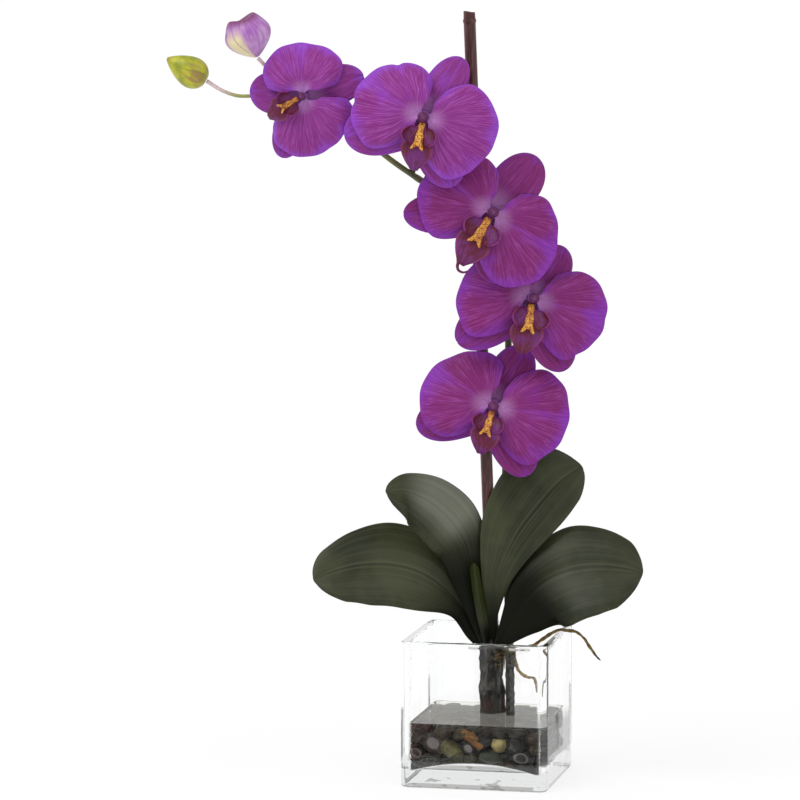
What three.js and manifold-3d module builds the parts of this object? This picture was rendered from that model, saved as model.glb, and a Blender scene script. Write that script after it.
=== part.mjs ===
// Moth orchid in a square glass vase: one plant with five open blooms, two buds and five leaves,
// standing in a bed of river stones and water beside a slim wooden stake.
// Millimetres, +Z up, the front of the vase towards -Y, origin at the middle of the vase's underside.
import * as THREE from 'three';
import { mergeVertices } from 'three/addons/utils/BufferGeometryUtils.js';
import Module from 'manifold-3d';

const wasm = await Module();
wasm.setup();

// Driving dimensions
const VASE = { width: 102, height: 100.8, wall: 5, corner: 5, innerCorner: 4, rim: 1.6, foot: 2,
  floorEdge: 10, floorRise: 7 };
const WATER_LEVEL = 43.8;
const BED_TOP = 41;
const STAKE_RADIUS = 4.1;
const CLEAR = 0.3;                 // gap between pieces that touch
const PLANT_TURN = 12.156;         // degrees that the plant is turned in its vase
const PETAL_THICK = 0.9;
const LEAF_THICK = 1.5;
const YOUNG_LEAF_THICK = 1.2;
const LIP_THICK = 1.0;

const COLOURS = {
  glass: 0xdfe6e6, water: 0x9aa09a, stone: 0x3a3a34, wood: 0x4a2c2a, stem: 0x38452a, crown: 0x35332d,
  leaf: 0x373e2d, youngLeaf: 0x4f6a1c, root: 0x6b5a34, petal: 0x8c2d8c, lip: 0x5f1e3c,
  callus: 0xdca528, greenBud: 0x9fa83a, lilacBud: 0xb68ac8,
};

const rad = THREE.MathUtils.degToRad;
const lerp = THREE.MathUtils.lerp;
const vec = (x, y, z) => new THREE.Vector3(x, y, z);

// Builders of closed surfaces

function geometryOf(points, triangles) {
  const geometry = new THREE.BufferGeometry();
  geometry.setAttribute('position',
    new THREE.Float32BufferAttribute(points.flatMap((p) => [p.x, p.y, p.z]), 3));
  geometry.setIndex(triangles.flat());
  return geometry;
}

// A closed body through rings of equal point count, each end closed by a fan to its middle
function loft(rings) {
  const count = rings[0].length;
  const points = rings.flat();
  const triangles = [];
  for (let i = 0; i + 1 < rings.length; i += 1) {
    for (let j = 0; j < count; j += 1) {
      const a = i * count + j;
      const b = i * count + ((j + 1) % count);
      triangles.push([a, b, b + count], [a, b + count, a + count]);
    }
  }
  const middle = (ring) => ring.reduce((s, p) => s.add(p), vec(0, 0, 0)).divideScalar(count);
  points.push(middle(rings[0]), middle(rings[rings.length - 1]));
  const last = (rings.length - 1) * count;
  for (let j = 0; j < count; j += 1) {
    const next = (j + 1) % count;
    triangles.push([points.length - 2, next, j], [points.length - 1, last + j, last + next]);
  }
  return geometryOf(points, triangles);
}

// A blade of even thickness over a grid of points, split alike on both faces
function sheet(grid, thickness) {
  const rows = grid.length;
  const cols = grid[0].length;
  const normal = (i, j) => {
    const along = grid[Math.min(i + 1, rows - 1)][j].clone().sub(grid[Math.max(i - 1, 0)][j]);
    const across = grid[i][Math.min(j + 1, cols - 1)].clone().sub(grid[i][Math.max(j - 1, 0)]);
    return across.cross(along).normalize().multiplyScalar(thickness / 2);
  };
  const faces = [1, -1].map((side) => grid.map((row, i) =>
    row.map((p, j) => p.clone().addScaledVector(normal(i, j), side))));
  const at = (side, i, j) => (side * rows + i) * cols + j;
  const triangles = [];
  for (let i = 0; i + 1 < rows; i += 1) {
    for (let j = 0; j + 1 < cols; j += 1) {
      const quad = (s) => [at(s, i, j), at(s, i, j + 1), at(s, i + 1, j + 1), at(s, i + 1, j)];
      const [a, b, c, d] = quad(0);
      const [e, f, g, h] = quad(1);
      triangles.push([a, b, c], [a, c, d], [e, g, f], [e, h, g]);
    }
  }
  const rim = [];
  for (let j = 0; j + 1 < cols; j += 1) rim.push([0, j]);
  for (let i = 0; i + 1 < rows; i += 1) rim.push([i, cols - 1]);
  for (let j = cols - 1; j > 0; j -= 1) rim.push([rows - 1, j]);
  for (let i = rows - 1; i > 0; i -= 1) rim.push([i, 0]);
  rim.forEach(([i, j], k) => {
    const [m, n] = rim[(k + 1) % rim.length];
    triangles.push([at(0, m, n), at(0, i, j), at(1, i, j)], [at(0, m, n), at(1, i, j), at(1, m, n)]);
  });
  return geometryOf(faces.flat(2), triangles);
}

// Rings of a round section along a smooth curve, with a radius that follows the way along it
function tube(points, radius, sides, steps) {
  const curve = new THREE.CatmullRomCurve3(points, false, 'centripetal');
  const frames = curve.computeFrenetFrames(steps, false);
  const rings = [];
  for (let i = 0; i <= steps; i += 1) {
    const centre = curve.getPointAt(i / steps);
    const ring = [];
    for (let j = 0; j < sides; j += 1) {
      const angle = (j / sides) * 2 * Math.PI;
      const r = radius(i / steps, angle);
      ring.push(centre.clone()
        .addScaledVector(frames.normals[i], r * Math.cos(angle))
        .addScaledVector(frames.binormals[i], r * Math.sin(angle)));
    }
    rings.push(ring);
  }
  return loft(rings);
}

// Solids for cutting and joining

function solidOf(geometry) {
  const bare = geometry.clone();
  bare.deleteAttribute('normal');
  bare.deleteAttribute('uv');
  const merged = mergeVertices(bare, 1e-4);
  const solid = new wasm.Manifold(new wasm.Mesh({
    numProp: 3,
    vertProperties: new Float32Array(merged.attributes.position.array),
    triVerts: new Uint32Array(merged.index.array),
  }));
  return solid.volume() < 0 ? solid.mirror([1, 0, 0]).scale([-1, 1, 1]) : solid;
}

function geometryFrom(solid) {
  const mesh = solid.getMesh();
  const geometry = new THREE.BufferGeometry();
  geometry.setAttribute('position', new THREE.Float32BufferAttribute(mesh.vertProperties, 3));
  geometry.setIndex(Array.from(mesh.triVerts));
  return geometry;
}

const join = (geometries) => geometries.map(solidOf).reduce((sum, s) => sum.add(s));

function piece(name, geometry, colour, finish = {}) {
  const material = new THREE.MeshStandardMaterial({ color: colour, roughness: 0.6, metalness: 0, ...finish });
  const mesh = new THREE.Mesh(geometry, material);
  mesh.name = name;
  return mesh;
}

// Smooth value between evenly spaced table entries
function between(values, s) {
  const x = s * (values.length - 1);
  const i = Math.min(Math.floor(x), values.length - 2);
  const [p, a, b, q] = [values[Math.max(i - 1, 0)], values[i], values[i + 1],
    values[Math.min(i + 2, values.length - 1)]];
  const t = x - i;
  return 0.5 * (2 * a + (b - p) * t + (2 * p - 5 * a + 4 * b - q) * t * t + (3 * a - p - 3 * b + q) * t ** 3);
}

// A repeatable row of numbers between 0 and 1
function draws(seed) {
  let state = seed;
  return () => {
    state = (state * 48271) % 2147483647;
    return state / 2147483647;
  };
}

// Vase: one pressed block of glass with a thick, vaulted floor

// A ring of four rounded corners joined by straight sides, all sides split alike
function roundedSquare(half, corner, z, perCorner = 3, perSide = 3) {
  const onCorner = (quarter, turn) => {
    const [cx, cy] = [[1, 1], [-1, 1], [-1, -1], [1, -1]][quarter % 4].map((s) => s * (half - corner));
    return vec(cx + corner * Math.cos(turn), cy + corner * Math.sin(turn), z);
  };
  const ring = [];
  for (let quarter = 0; quarter < 4; quarter += 1) {
    const end = (quarter + 1) * (Math.PI / 2);
    for (let k = 0; k <= perCorner; k += 1) {
      ring.push(onCorner(quarter, (quarter + k / perCorner) * (Math.PI / 2)));
    }
    for (let k = 1; k <= perSide; k += 1) {
      ring.push(onCorner(quarter, end).lerp(onCorner(quarter + 1, end), k / (perSide + 1)));
    }
  }
  return ring;
}

const INNER = VASE.width / 2 - VASE.wall;

// Floor of the hollow: a vault that dips only into the four corners, so it shows as an arch in every wall
const floorHeight = (x, y) => VASE.floorEdge + VASE.floorRise * (1 - ((x * y) / INNER ** 2) ** 2);

function floorRings(inset, lift, shares) {
  return shares.map((share) => roundedSquare((INNER - inset) * share, VASE.innerCorner * share, 0)
    .map((p) => p.setZ(floorHeight(p.x, p.y) + lift)));
}

function vaseGeometry() {
  const { width, height, corner, rim, foot, innerCorner } = VASE;
  const half = width / 2;
  return loft([
    roundedSquare(half * 0.5, corner * 0.5, 0),
    roundedSquare(half - foot, corner, 0),
    roundedSquare(half - foot * 0.3, corner, foot * 0.3),
    roundedSquare(half, corner, foot),
    roundedSquare(half, corner, height - rim),
    roundedSquare(half - rim * 0.3, corner, height - rim * 0.3),
    roundedSquare(half - rim, corner, height),
    roundedSquare(INNER + rim, innerCorner, height),
    roundedSquare(INNER + rim * 0.3, innerCorner, height - rim * 0.3),
    roundedSquare(INNER, innerCorner, height - rim),
    ...floorRings(0, 0, [1, 0.75, 0.5, 0.25]),
  ]);
}

// Plant frame: x to the right as seen from the front, d towards the viewer, z up
const seen = ([x, d, z]) => vec(x, -d, z);
const toVase = (p) => p.clone().applyAxisAngle(vec(0, 0, 1), rad(PLANT_TURN));

const CROWN = { axis: [3.6, -12], foot: 24, top: 97, hole: 10.3 };
const CROWN_RADII = [8.9, 8.7, 9.1, 8.3, 8.7, 9.0, 7.6, 8.0, 8.8, 8.2, 4.6];
const SPIKE = { foot: [16.1, 0, 26], base: 3.1, end: 1.7 };
const STALK = { bloom: 1.5, bud: 1.2 };

function crownGeometry(grow) {
  const { axis, foot, top } = CROWN;
  const rings = CROWN_RADII.map((radius, i) => {
    const share = i / (CROWN_RADII.length - 1);
    const ring = [];
    for (let j = 0; j < 12; j += 1) {
      const angle = (j / 12) * 2 * Math.PI;
      const lump = 1 + (i === CROWN_RADII.length - 1 ? 0 : 0.07 * Math.sin(3 * angle + 7 * share));
      const r = radius * lump + grow;
      ring.push(seen([axis[0] + r * Math.cos(angle), axis[1] - r * Math.sin(angle),
        lerp(foot - grow, top + grow, share)]));
    }
    return ring;
  });
  return loft(rings);
}

// Stake: a straight rod that leans on the spike where the two cross, with a ring below its top
const STAKE_FOOT = [5.8, -14.6, 60];
const STAKE_TOP = [-13.6, 24.5, 528];

function stakeGeometry(grow) {
  const top = seen(STAKE_TOP);
  const line = top.clone().sub(seen(STAKE_FOOT)).normalize();
  const foot = seen(STAKE_FOOT).addScaledVector(line, -grow);
  const way = top.clone().sub(foot);
  const ringAt = 1 - 6 / way.length();
  const profile = [[0, 1], [ringAt - 0.008, 1], [ringAt - 0.004, 1.12], [ringAt + 0.004, 1.12],
    [ringAt + 0.008, 0.97], [1, 0.97]];
  const rings = profile.map(([s, k]) => {
    const ring = [];
    for (let j = 0; j < 14; j += 1) {
      const angle = (j / 14) * 2 * Math.PI;
      const r = STAKE_RADIUS * k + grow;
      const slant = s === 1 ? -0.25 * r * Math.cos(angle) : 0;
      ring.push(vec(r * Math.cos(angle), r * Math.sin(angle), s * way.length() + slant));
    }
    return ring;
  });
  const turn = new THREE.Quaternion().setFromUnitVectors(vec(0, 0, 1), line);
  return loft(rings).applyQuaternion(turn).translate(...foot.toArray());
}

// Pebble bed: a low core with river stones standing out of it, kept inside the glass
function pebbleSolid() {
  const next = draws(7);
  const core = loft([
    ...floorRings(4, 4, [0.3, 0.6, 0.9]),
    roundedSquare(INNER - 5, 5, VASE.floorEdge + 12),
    roundedSquare(INNER - 5, 5, BED_TOP - 6),
    roundedSquare(INNER - 8, 5, BED_TOP - 5),
  ]);
  const space = loft([
    ...floorRings(CLEAR + 0.1, 4 * CLEAR, [0.25, 0.5, 0.75, 1]),
    roundedSquare(INNER - CLEAR - 0.1, VASE.innerCorner, BED_TOP),
  ]);
  const stones = [];
  const stone = (centre, long, wide, high) => {
    const shape = new THREE.OctahedronGeometry(1.06, 1);
    shape.scale(long * lerp(0.9, 1.12, next()), wide * lerp(0.9, 1.1, next()),
      high * lerp(0.88, 1.12, next()));
    shape.rotateX((next() - 0.5) * 0.9).rotateY((next() - 0.5) * 0.9).rotateZ((next() - 0.5) * 1.4);
    const jitter = () => (next() - 0.5) * 2.4;
    stones.push(shape.translate(centre.x + jitter(), centre.y + jitter(), centre.z + jitter()));
  };
  const perSide = 5;
  const pitch = (2 * INNER) / perSide;
  for (let side = 0; side < 4; side += 1) {
    for (let row = 0; row < 3; row += 1) {
      for (let k = 0; k < perSide; k += 1) {
        if (row === 0 && k === 2) continue;
        const along = -INNER + pitch * (k + (row % 2 ? 0.15 : 0.65));
        const height = lerp(floorHeight(along, INNER), BED_TOP, 0.2 + 0.3 * row) + 0.4;
        const centre = vec(along, -INNER + 6, height).applyAxisAngle(vec(0, 0, 1), side * (Math.PI / 2));
        const swap = side % 2;
        stone(centre, swap ? 6.8 : 9.6, swap ? 9.6 : 6.8, 6.1);
      }
    }
  }
  for (let i = 0; i < 3; i += 1) {
    for (let j = 0; j < 3; j += 1) {
      stone(vec((i - 1) * 24, (j - 1) * 24, BED_TOP - 6.5), 12.5, 11, 6.2);
    }
  }
  return join([core, ...stones]).intersect(solidOf(space));
}

// Plain upright holes for what stands in the stones and the water
function holes(bottom) {
  const post = (x, d, radius) => {
    const foot = toVase(seen([x, d, 0]));
    return new THREE.CylinderGeometry(radius, radius, 80, 16).rotateX(Math.PI / 2)
      .translate(foot.x, foot.y, bottom + 40);
  };
  const [x, d] = SPIKE.foot;
  return join([post(...CROWN.axis, CROWN.hole), post(x, d, SPIKE.base + 1.5 * CLEAR)]);
}

function waterGeometry() {
  const slab = loft([
    roundedSquare(INNER - CLEAR, VASE.innerCorner, BED_TOP + CLEAR),
    roundedSquare(INNER - CLEAR, VASE.innerCorner, WATER_LEVEL),
  ]);
  return geometryFrom(solidOf(slab).subtract(holes(BED_TOP)));
}

// Leaves: stations along the midrib as [x, d, z, half width above, half width below, tilt],
// where tilt leans the blade's far edge back from the viewer, in degrees
const LEAVES = {
  leaf_low_left: [
    [-1, -11.5, 88, 4, 4, 0], [-8, -9.5, 99, 7, 6.5, 0], [-18.2, -5, 118.6, 12, 10.5, 15],
    [-34.5, 2, 135.6, 21.5, 23, 24], [-50, 8, 145.2, 28.5, 28.5, 27], [-68, 14, 150, 30.5, 30, 28],
    [-88, 20, 150.5, 25, 29.5, 28], [-105.5, 25.5, 147, 17.5, 24, 28], [-118.8, 29, 141.8, 11.5, 17.5, 28],
  ],
  leaf_upper_left: [
    [-0.5, -7, 90, 3.3, 3.3, 0], [-4.3, -5.2, 103, 3.5, 5, 0], [-6.8, -3.5, 120, 5, 9.5, 5],
    [-9.8, -1.2, 139, 8.5, 15, 8], [-15.3, 3, 163.5, 15.5, 21, 12], [-24.9, 8, 178.2, 20.5, 23, 16],
    [-39.1, 14, 192.2, 19.5, 23.5, 24], [-54, 21, 200.6, 14.5, 22.5, 32], [-69.8, 29, 203, 9, 17, 38],
  ],
  leaf_upper_right: [
    [5.2, -6.5, 89, 3.2, 3.2, 0], [3.2, -0.6, 103, 2.5, 3, 0], [3.4, 2.2, 118, 5, 5, 0],
    [7.2, 4.5, 141, 12, 10, 0], [14.2, 5, 158, 21.5, 14, 0], [22.5, 4.5, 172.5, 29, 17.5, 2],
    [37, 2, 191, 34, 19.5, 5], [50, -1, 205.2, 31, 18, 8], [64.2, -6, 215.8, 19.5, 13, 10],
  ],
  leaf_low_right: [
    [7, -6.5, 87, 3.3, 3.3, 0], [9.8, 4.4, 95, 4.5, 5.5, 0], [18.5, 6.5, 113, 9, 20, 12],
    [30, 8, 130.5, 17, 33, 24], [43.5, 10, 140.6, 26.2, 38.3, 30], [60, 13, 146.8, 32, 38.3, 32],
    [77, 15.5, 148.8, 28.8, 35.8, 32], [92, 17.5, 148, 22, 30.5, 32], [105.5, 19, 145.5, 12.5, 22.5, 32],
  ],
};

// A strap leaf: two bellied halves with a shallow groove along the midrib and a blunt tip
function leafGeometry(stations, belly = 7, rows = 12, cols = 4) {
  const hand = stations[stations.length - 1][0] < stations[0][0] ? 1 : -1;
  const path = new THREE.CatmullRomCurve3(stations.map(seen), false, 'centripetal');
  const column = (k) => stations.map((station) => station[k]);
  const grid = [];
  for (let i = 0; i < rows; i += 1) {
    const s = 1 - (1 - i / (rows - 1)) ** 1.25;
    const centre = path.getPoint(s);
    const along = path.getTangent(s);
    const face = vec(0, -1, 0).addScaledVector(along, along.y).normalize();
    const side = along.clone().cross(face).normalize().multiplyScalar(hand);
    const tilt = rad(between(column(5), s));
    const far = side.clone().multiplyScalar(Math.cos(tilt)).addScaledVector(face, -Math.sin(tilt));
    const out = far.clone().cross(along).normalize().multiplyScalar(hand);
    const tip = s < 0.88 ? 1 : Math.sqrt(Math.max(1 - ((s - 0.88) / 0.12) ** 2.4, 0.003));
    grid.push([...Array(cols + 1).keys()].map((j) => {
      const w = (2 * j) / cols - 1;
      const reach = between(column(w > 0 ? 3 : 4), s) * tip;
      const lift = belly * (Math.abs(w) - 0.9 * w * w) * Math.min(reach / 20, 1);
      return centre.clone().addScaledVector(far, w * reach).addScaledVector(out, lift);
    }));
  }
  return sheet(grid, LEAF_THICK);
}

// Young leaf: still folded along its midrib, like a narrow boat
function youngLeafGeometry() {
  const path = new THREE.CatmullRomCurve3([[0.6, -5, 90], [-1.8, 3, 103], [-4.6, 6, 117], [-7.2, 7.6, 132],
    [-9.6, 8.6, 150.5]].map(seen));
  const grid = [];
  for (let i = 0; i <= 6; i += 1) {
    const s = i / 6;
    const half = 3.6 * Math.sin(Math.PI * lerp(0.22, 0.78, s)) ** 0.6 + 0.4;
    grid.push([-1, -0.5, 0, 0.5, 1].map((w) => path.getPoint(s)
      .add(vec(half * w * 0.9, -half * Math.abs(w) * 0.8, half * Math.abs(w) * 0.15))));
  }
  return sheet(grid, YOUNG_LEAF_THICK);
}

// Flower spike: the green stem that arches over, with the stalks of its blooms and buds

const SPIKE_PATH = [SPIKE.foot, [16.1, 0, 43.9], [15.3, -1, 88.7], [14.4, -4, 130.5], [12.6, -8, 213.5],
  [13.8, -6, 262], [13.6, 2, 311], [10, 10, 338.8], [2.3, 15, 363], [-8.7, 19.5, 381.8], [-24.4, 26, 401],
  [-44.8, 33, 414], [-68, 37.5, 430.2], [-93.5, 38, 451.6], [-115.5, 36, 465.8], [-134, 33.5, 471.8]];

// Each bloom: petals as [first edge, last edge, reach at nine even steps between them], sepals as
// [axis, length, half width]; angles run anticlockwise from the right as the bloom is seen
const BLOOMS = [
  { centre: [-124.8, 50, 472.6], yaw: -8, pitch: 2, size: 0.8, wave: 0.6, lip: [212, 0.76], dorsal: [19, 41.5, 13.5],
    left: [20, 170, [24, 33, 35.5, 35, 35.5, 36, 35, 32, 26]],
    right: [-3, -141, [30, 36, 37, 38.5, 40, 41, 40, 36.5, 28]],
    sepalLeft: [175, 38, 14.5], sepalRight: [-112, 44.5, 12],
    stalk: [[-99, 37.4, 455.4], [-110, 39, 465], [-120, 40.5, 471]] },
  { centre: [-44.1, 69, 459.4], yaw: -4, pitch: 3, size: 1, wave: 2.1, lip: [259, 1], dorsal: [57, 46.5, 13.5],
    left: [76, 229, [25, 34, 39, 44.5, 48.5, 49.5, 47.5, 41.5, 21.5]],
    right: [50, -88, [24, 39, 44.5, 49, 50, 48.5, 47, 44, 30.5]],
    sepalLeft: [194, 55.5, 18.5], sepalRight: [-68, 50, 16],
    stalk: [[-51.4, 34, 420.8], [-50, 46, 438], [-45, 58, 454]] },
  { centre: [1.5, 52, 394.8], yaw: 3, pitch: 5, size: 1, wave: 3.4, lip: [238, 1.14], dorsal: [49, 48.5, 17],
    left: [78, 219, [27, 36, 41, 46.5, 51, 51.5, 47.5, 43.5, 28]],
    right: [31, -105, [24.5, 37, 43, 47.5, 52.5, 55, 53, 47.5, 35]],
    sepalLeft: [181, 59, 14.5], sepalRight: [-86, 48, 15], hook: true,
    stalk: [[0, 16, 368], [1.5, 28, 384], [2, 40, 392.5]] },
  { centre: [28.5, 35, 335.9], yaw: 7, pitch: 4, size: 1, wave: 4.4, lip: [258.5, 1.08], dorsal: [53, 41.5, 14.5],
    left: [74, 232, [26, 35, 38, 41.5, 45.5, 49.5, 51, 48, 29]],
    right: [39, -78, [25, 40, 48, 52.5, 54, 53.5, 50.5, 47.5, 30.5]],
    sepalLeft: [211, 58, 16.5], sepalRight: [-64, 55.5, 16.5],
    stalk: [[13.6, 1.5, 306], [20, 13, 322], [27, 23.5, 333]] },
  { centre: [3.7, 20, 260.5], yaw: -3, pitch: 6, size: 1, wave: 5.5, lip: [254.4, 0.94], dorsal: [62, 45.5, 15.5],
    left: [76, 229, [30, 36, 40.5, 45, 50, 51, 49.5, 42, 22]],
    right: [53, -80, [26, 41.5, 48.5, 51, 52, 51.5, 48.5, 45, 28]],
    sepalLeft: [195.5, 55, 16], sepalRight: [-64, 53, 15.5],
    stalk: [[13.2, -7.5, 236], [11.5, 2, 250], [6.5, 10, 258]] },
];

const BUD_STALKS = [
  [[-126, 34.5, 469.5], [-139, 33.5, 478], [-149.4, 35, 490.5], [-155.8, 36, 497.3]],
  [[-126, 34.5, 469.5], [-145, 33, 472], [-160, 33, 471.8], [-170, 32, 472], [-180, 32, 475.4],
    [-190.6, 32, 481.9]],
];

function bloomFrame({ centre, yaw, pitch }) {
  const out = vec(Math.sin(rad(yaw)) * Math.cos(rad(pitch)), -Math.cos(rad(yaw)) * Math.cos(rad(pitch)),
    Math.sin(rad(pitch)));
  const right = vec(Math.cos(rad(yaw)), Math.sin(rad(yaw)), 0);
  return new THREE.Matrix4().makeBasis(right, out.clone().cross(right), out).setPosition(seen(centre));
}

function spikeSolid() {
  const stem = tube(SPIKE_PATH.map(seen), (s) => lerp(SPIKE.base, SPIKE.end, s), 7, 25);
  const stalks = BLOOMS.map((bloom) => {
    const frame = bloomFrame(bloom);
    const end = [-9, -4].map((z) => vec(0, 0, z * bloom.size).applyMatrix4(frame));
    return tube([...bloom.stalk.map(seen), ...end], () => STALK.bloom, 5, 6);
  });
  const budStalks = BUD_STALKS.map((points) => tube(points.map(seen), () => STALK.bud, 5, 7));
  const hubs = BLOOMS.map((bloom) => hubGeometry(bloom.size, CLEAR).applyMatrix4(bloomFrame(bloom)));
  return join([stem, ...stalks, ...budStalks]).subtract(join(hubs));
}

// Bloom, drawn facing +z with x to the right and y up

// A broad petal whose veins fan out from a narrow claw
function petalGrid([first, last, reaches], wave, rows = 4, cols = 8) {
  const grid = [];
  for (let i = 0; i <= rows; i += 1) {
    const share = lerp(0.07, 1, i / rows);
    const open = 0.4 + 0.6 * THREE.MathUtils.smoothstep(share, 0, 0.5);
    grid.push([...Array(cols + 1).keys()].map((j) => {
      const t = (2 * j) / cols - 1;
      const reach = between(reaches, j / cols) * share;
      const angle = rad((first + last) / 2 + ((last - first) / 2) * open * t);
      const depth = 2 + 4.5 * Math.sin(Math.PI * share ** 0.9) - 4.5 * share ** 3
        + share ** 2 * (1.1 * Math.sin(3.1 * t + wave) + 0.5 * Math.sin(7 * t + 2 * wave));
      return vec(reach * Math.cos(angle), reach * Math.sin(angle), depth);
    }));
  }
  return grid;
}

// A sepal behind the petals, an oval blade on a narrow foot
function sepalGrid([axis, length, half], wave, rows = 5, cols = 2) {
  const along = vec(Math.cos(rad(axis)), Math.sin(rad(axis)), 0);
  const side = vec(-along.y, along.x, 0);
  const grid = [];
  for (let i = 0; i <= rows; i += 1) {
    const s = lerp(0.05, 1, Math.sin((Math.PI / 2) * (i / rows)));
    const oval = Math.sqrt(Math.max(1 - Math.abs(2 * s ** 0.85 - 1) ** 2.6, 0.015));
    const width = half * oval * lerp(0.35, 1, THREE.MathUtils.smoothstep(s, 0, 0.4));
    grid.push([...Array(cols + 1).keys()].map((j) => {
      const w = (2 * j) / cols - 1;
      return along.clone().multiplyScalar(length * s).addScaledVector(side, width * w)
        .add(vec(0, 0, -2.2 - 5 * s ** 1.5 - 1.2 * w * w * s + 0.5 * Math.sin(4 * s + wave) * w));
    }));
  }
  return grid;
}

// Hub with the column, the blunt rod that stands in the middle of the bloom and droops a little:
// [radius, depth] down its side
const HUB_PROFILE = [[2.2, -7.2], [4.4, -5], [5, -2.5], [4.4, 0.6], [3.3, 3], [3.3, 8.5], [3.8, 10.8],
  [3.5, 13], [2.2, 14.8]];
const COLUMN_DROOP = 0.04;

function hubGeometry(size, grow = 0) {
  return loft(HUB_PROFILE.map(([radius, depth], i) => {
    const ring = [];
    const outwards = grow * lerp(-1, 1, i / (HUB_PROFILE.length - 1));
    for (let j = 0; j < 8; j += 1) {
      const angle = (j / 8) * 2 * Math.PI;
      const r = radius * size + grow;
      const droop = COLUMN_DROOP * Math.max(depth, 0);
      ring.push(vec(r * Math.cos(angle), r * Math.sin(angle) - droop, depth * size + outwards));
    }
    return ring;
  }));
}

function tepalSolid(bloom) {
  const turned = (grid) => sheet(grid, PETAL_THICK);
  return join([
    turned(petalGrid(bloom.left, bloom.wave)),
    turned(petalGrid(bloom.right, bloom.wave + 1.7)),
    turned(sepalGrid(bloom.dorsal, bloom.wave)),
    turned(sepalGrid(bloom.sepalLeft, bloom.wave + 1)),
    turned(sepalGrid(bloom.sepalRight, bloom.wave + 2)),
    hubGeometry(bloom.size),
  ]);
}

// Lip, drawn with q away from the dorsal sepal, p across and z out

const LIP = { start: 3.6, end: 36, floorStart: 2.5, floorTop: 10.5 };
const lipHeight = (q) => LIP.floorStart + (LIP.floorTop - LIP.floorStart)
  * Math.sin(Math.PI * THREE.MathUtils.clamp((q - 2) / 34, 0, 1)) ** 0.8;

function midLobeGrid(rows = 6, cols = 4) {
  const halves = [2, 3.4, 5, 9, 11, 9.5, 6.5, 2.6];
  const grid = [];
  for (let i = 0; i <= rows; i += 1) {
    const q = lerp(LIP.start, LIP.end, i / rows);
    const half = between(halves, i / rows);
    grid.push([...Array(cols + 1).keys()].map((j) => {
      const w = (2 * j) / cols - 1;
      return vec(half * w, -q, lipHeight(q) + 1.4 * w * w * Math.sin(Math.PI * (i / rows)));
    }));
  }
  return grid;
}

// A side lobe curls up beside the callus like a small ear
function sideLobeGrid(hand, rows = 3, cols = 3) {
  const grid = [];
  for (let i = 0; i <= rows; i += 1) {
    const a = i / rows;
    const q = lerp(7, 20, a);
    const tall = Math.sin(Math.PI * lerp(0.12, 0.9, a)) ** 0.55;
    grid.push([...Array(cols + 1).keys()].map((j) => {
      const turn = rad(105) * (j / cols);
      return vec(hand * (2.6 + 9.2 * Math.sin(turn) * tall), -(q + 2 * (j / cols) * (0.5 - a)),
        lipHeight(q) + 8.5 * (1 - Math.cos(turn)) * tall * 0.9);
    }));
  }
  return grid;
}

// The tendril that hooks forward from the tip of a fully open lip
const TENDRIL = [[-0.6, -33, 5.0], [-1.2, -37, 3.8], [0.8, -39.6, 3.4], [4, -39.4, 3.8], [6.2, -37, 4.6]]
  .map((p) => vec(...p));

// Callus: a narrow forked ridge along the lip's floor
const CALLUS = { start: 5.6, end: 21, lift: LIP_THICK / 2 + 0.8 };

function callusGeometry() {
  const rings = [];
  for (let i = 0; i <= 4; i += 1) {
    const s = i / 4;
    const q = lerp(CALLUS.start, CALLUS.end, s);
    const half = 1.6 + 1.6 * s;
    const foot = lipHeight(q) + CALLUS.lift;
    const high = 2.6 - 1.2 * s + 0.5 * Math.sin(9 * s);
    rings.push([[-half, 0], [half, 0], [half * 0.5, high], [-half * 0.5, high]]
      .map(([p, h]) => vec(p, -q, foot + h)));
  }
  return loft(rings);
}

function lipSolids({ lip, size, hook }) {
  const [axis, scale] = lip;
  const place = (geometry) => geometry.scale(scale, scale, 1).rotateZ(rad(axis + 90));
  const tendrils = hook ? [tube(TENDRIL, (s) => lerp(1.2, 0.6, s), 5, 7)] : [];
  const lobes = join([
    sheet(midLobeGrid(), LIP_THICK), sheet(sideLobeGrid(1), LIP_THICK), sheet(sideLobeGrid(-1), LIP_THICK),
    ...tendrils,
  ].map(place));
  const aroundHub = solidOf(hubGeometry(size, CLEAR));
  return { lobes: lobes.subtract(aroundHub), callus: solidOf(place(callusGeometry())) };
}

// Buds: closed sepals that meet in raised seams

function budGeometry(base, tip, halfWidth, seams, bulge) {
  const way = seen(tip).sub(seen(base));
  const rings = [];
  for (let i = 0; i <= 8; i += 1) {
    const s = lerp(0.02, 0.985, i / 8);
    const girth = Math.sin(Math.PI * s ** bulge) ** 0.75;
    const ring = [];
    for (let j = 0; j < 12; j += 1) {
      const angle = (j / 12) * 2 * Math.PI;
      const seam = 1 + 0.07 * Math.abs(Math.sin((seams / 2) * angle + 1.4 * s)) - 0.03;
      const r = halfWidth * girth * seam;
      ring.push(vec(r * Math.cos(angle), r * Math.sin(angle), s * way.length()));
    }
    rings.push(ring);
  }
  const turn = new THREE.Quaternion().setFromUnitVectors(vec(0, 0, 1), way.clone().normalize());
  return loft(rings).applyQuaternion(turn).translate(...seen(base).toArray());
}

const BUDS = {
  bud_lilac: { shape: [[-156.2, 36, 497.6], [-167.8, 38, 526.6], 15.6, 5, 1.1], colour: COLOURS.lilacBud },
  bud_green: { shape: [[-190.5, 32, 482], [-217.5, 34, 497.4], 10.4, 3, 0.66], colour: COLOURS.greenBud },
};

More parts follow.
